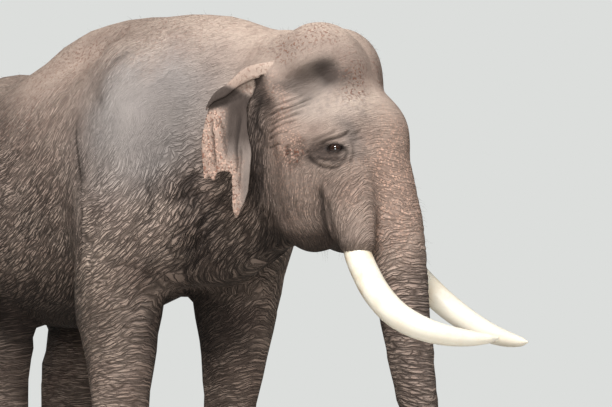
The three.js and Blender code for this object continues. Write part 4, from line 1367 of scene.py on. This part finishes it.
def growHair(name, look):
    weight = growth(name).astype(float)
    roots = chance.choice(len(weight), look["count"], p=weight / weight.sum())
    points, faces, places = [], [], []
    for root in roots:
        n = skinNormals[root]
        start = skinPoints[root] + chance.normal(0, 1.2, 3) - 2 * n
        lean = leaning(name, start)
        out = 0.12 if name == "tailTuft" else 1.0
        spread = 0.05 if name == "tailTuft" else 0.16
        way = out * n + lean * look["bend"] * (2.2 if name == "tailTuft" else 1) + chance.normal(0, spread, 3)
        way /= np.linalg.norm(way)
        long = chance.uniform(*look["long"])
        across = np.cross(way, (0.3, 0.5, 0.8))
        across /= np.linalg.norm(across)
        other = np.cross(way, across)
        first = len(points)
        steps = 5
        for i in range(steps + 1):
            t = i / steps
            middle = start + long * (t * way + t * t * 0.3 * (lean + (0, 0, -0.4)))
            radius = look["thick"] * (1 - 0.85 * t)
            for k in range(3):
                a = 2 * math.pi * k / 3
                points.append(toRow(middle + radius * (math.cos(a) * across + math.sin(a) * other)))
        for i in range(steps):
            for k in range(3):
                a, b = first + 3 * i + k, first + 3 * i + (k + 1) % 3
                faces.append((a, b, b + 3, a + 3))
        faces.append((first + 2, first + 1, first))
        faces.append((first + 3 * steps, first + 3 * steps + 1, first + 3 * steps + 2))
        corners = range(3 * steps + 3)
        places += [unwrapped[root] + (0.003 * (i // 3) / steps, 0.0015 * (i % 3)) for i in corners]
    piece = meshObject(name, points, faces)
    layer = piece.data.uv_layers.new(name="OFBake")
    order = np.empty(len(piece.data.loops), int)
    piece.data.loops.foreach_get("vertex_index", order)
    layer.data.foreach_set("uv", np.array(places)[order].ravel())
    only(piece)
    bpy.ops.object.shade_smooth()
    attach(piece, "root")
    piece.data.materials.append(hairMaterial(look["colour"]))
    return piece


# stiff dark hair, a little paler in places
def hairMaterial(code):
    made, add = newMaterial("elephant hair")
    tone = add("TexNoise", {"Vector": add("TexCoord", out="Object"), "Scale": 25.0, "Detail": 2.0})
    tone = add("Math", [tone, 0.5], **times)
    colour = add("Mix", {0: tone, 6: linear(code), 7: linear("#7A6A5C")}, 2, **colours)
    surface = add("BsdfPrincipled", {"Base Color": colour, "Roughness": 0.5, "IOR": 1.55})
    add("OutputMaterial", {"Surface": surface})
    return made


for name, look in hairSets.items():
    growHair(name, look)
tell("hair")

# the camera, floor and light
view = {"turn": 50, "over": (1590, 0), "back": 8.0, "height": 1.55, "tilt": 2.36, "lens": 105.06}
swing = math.radians(view["turn"])
foot = toRow((*view["over"], 0))
bpy.ops.object.camera_add(
    location=(
        foot[0] + view["back"] * math.sin(swing), foot[1] - view["back"] * math.cos(swing), view["height"]),
    rotation=(math.radians(90 + view["tilt"]), 0, swing))
camera = bpy.context.object
camera.data.lens = view["lens"]
bpy.context.scene.camera = camera

stage = {"floor": "#C9C6C0", "room": "#DCDEDC", "reach": 60, "fade": (4, 11), "lends": 0.16}
bpy.ops.mesh.primitive_circle_add(vertices=96, radius=stage["reach"], fill_type="NGON")
floor = bpy.context.object
floor.name = "floor"


# pale matt floor that fades into the pale room around it
def floorMaterial():
    made, add = newMaterial("pale floor")
    away = add("VectorMath", [add("TexCoord", out="Object")], "Value", operation="LENGTH")
    surface = add("BsdfPrincipled", {"Base Color": linear(stage["floor"]), "Roughness": 0.9})
    room = add("Emission", {"Color": linear(stage["room"])})
    share = add("MapRange", [away, *stage["fade"], 0.0, 1.0], **smooth)
    add("OutputMaterial", {"Surface": add("MixShader", [share, surface, room])})
    return made


floor.data.materials.append(floorMaterial())

# a broad soft light overhead on the camera's side, a weak one in front and one behind
lights = {
    "overhead": ((3.2, -2.8, 7.2), (0.4, 0, 1.7), 1.4, 620),
    "front": ((7.5, -5.5, 3.9), (0.9, 0, 1.6), 3.5, 400),
    "rear": ((-6, 6, 5), (0, 0, 1.8), 4.0, 130),
}
for name, (at, aim, size, power) in lights.items():
    way = Vector(aim) - Vector(at)
    bpy.ops.object.light_add(type="AREA", location=at, rotation=way.to_track_quat("-Z", "Y").to_euler())
    lamp = bpy.context.object
    lamp.name = name
    lamp.data.energy = power
    lamp.data.size = size

# the room looks pale, but lends only a little light
world = bpy.data.worlds.new("pale room")
bpy.context.scene.world = world
world.use_nodes = True
add = adder(world.node_tree)
seen = add("LightPath", out="Is Camera Ray")
glow = world.node_tree.nodes["Background"]
glow.inputs["Color"].default_value = linear(stage["room"])
lent = add("MapRange", [seen, 0.0, 1.0, stage["lends"], 1.0], **smooth)
world.node_tree.links.new(lent, glow.inputs["Strength"])
bpy.context.scene.view_settings.view_transform = "Standard"

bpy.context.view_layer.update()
tell("done")
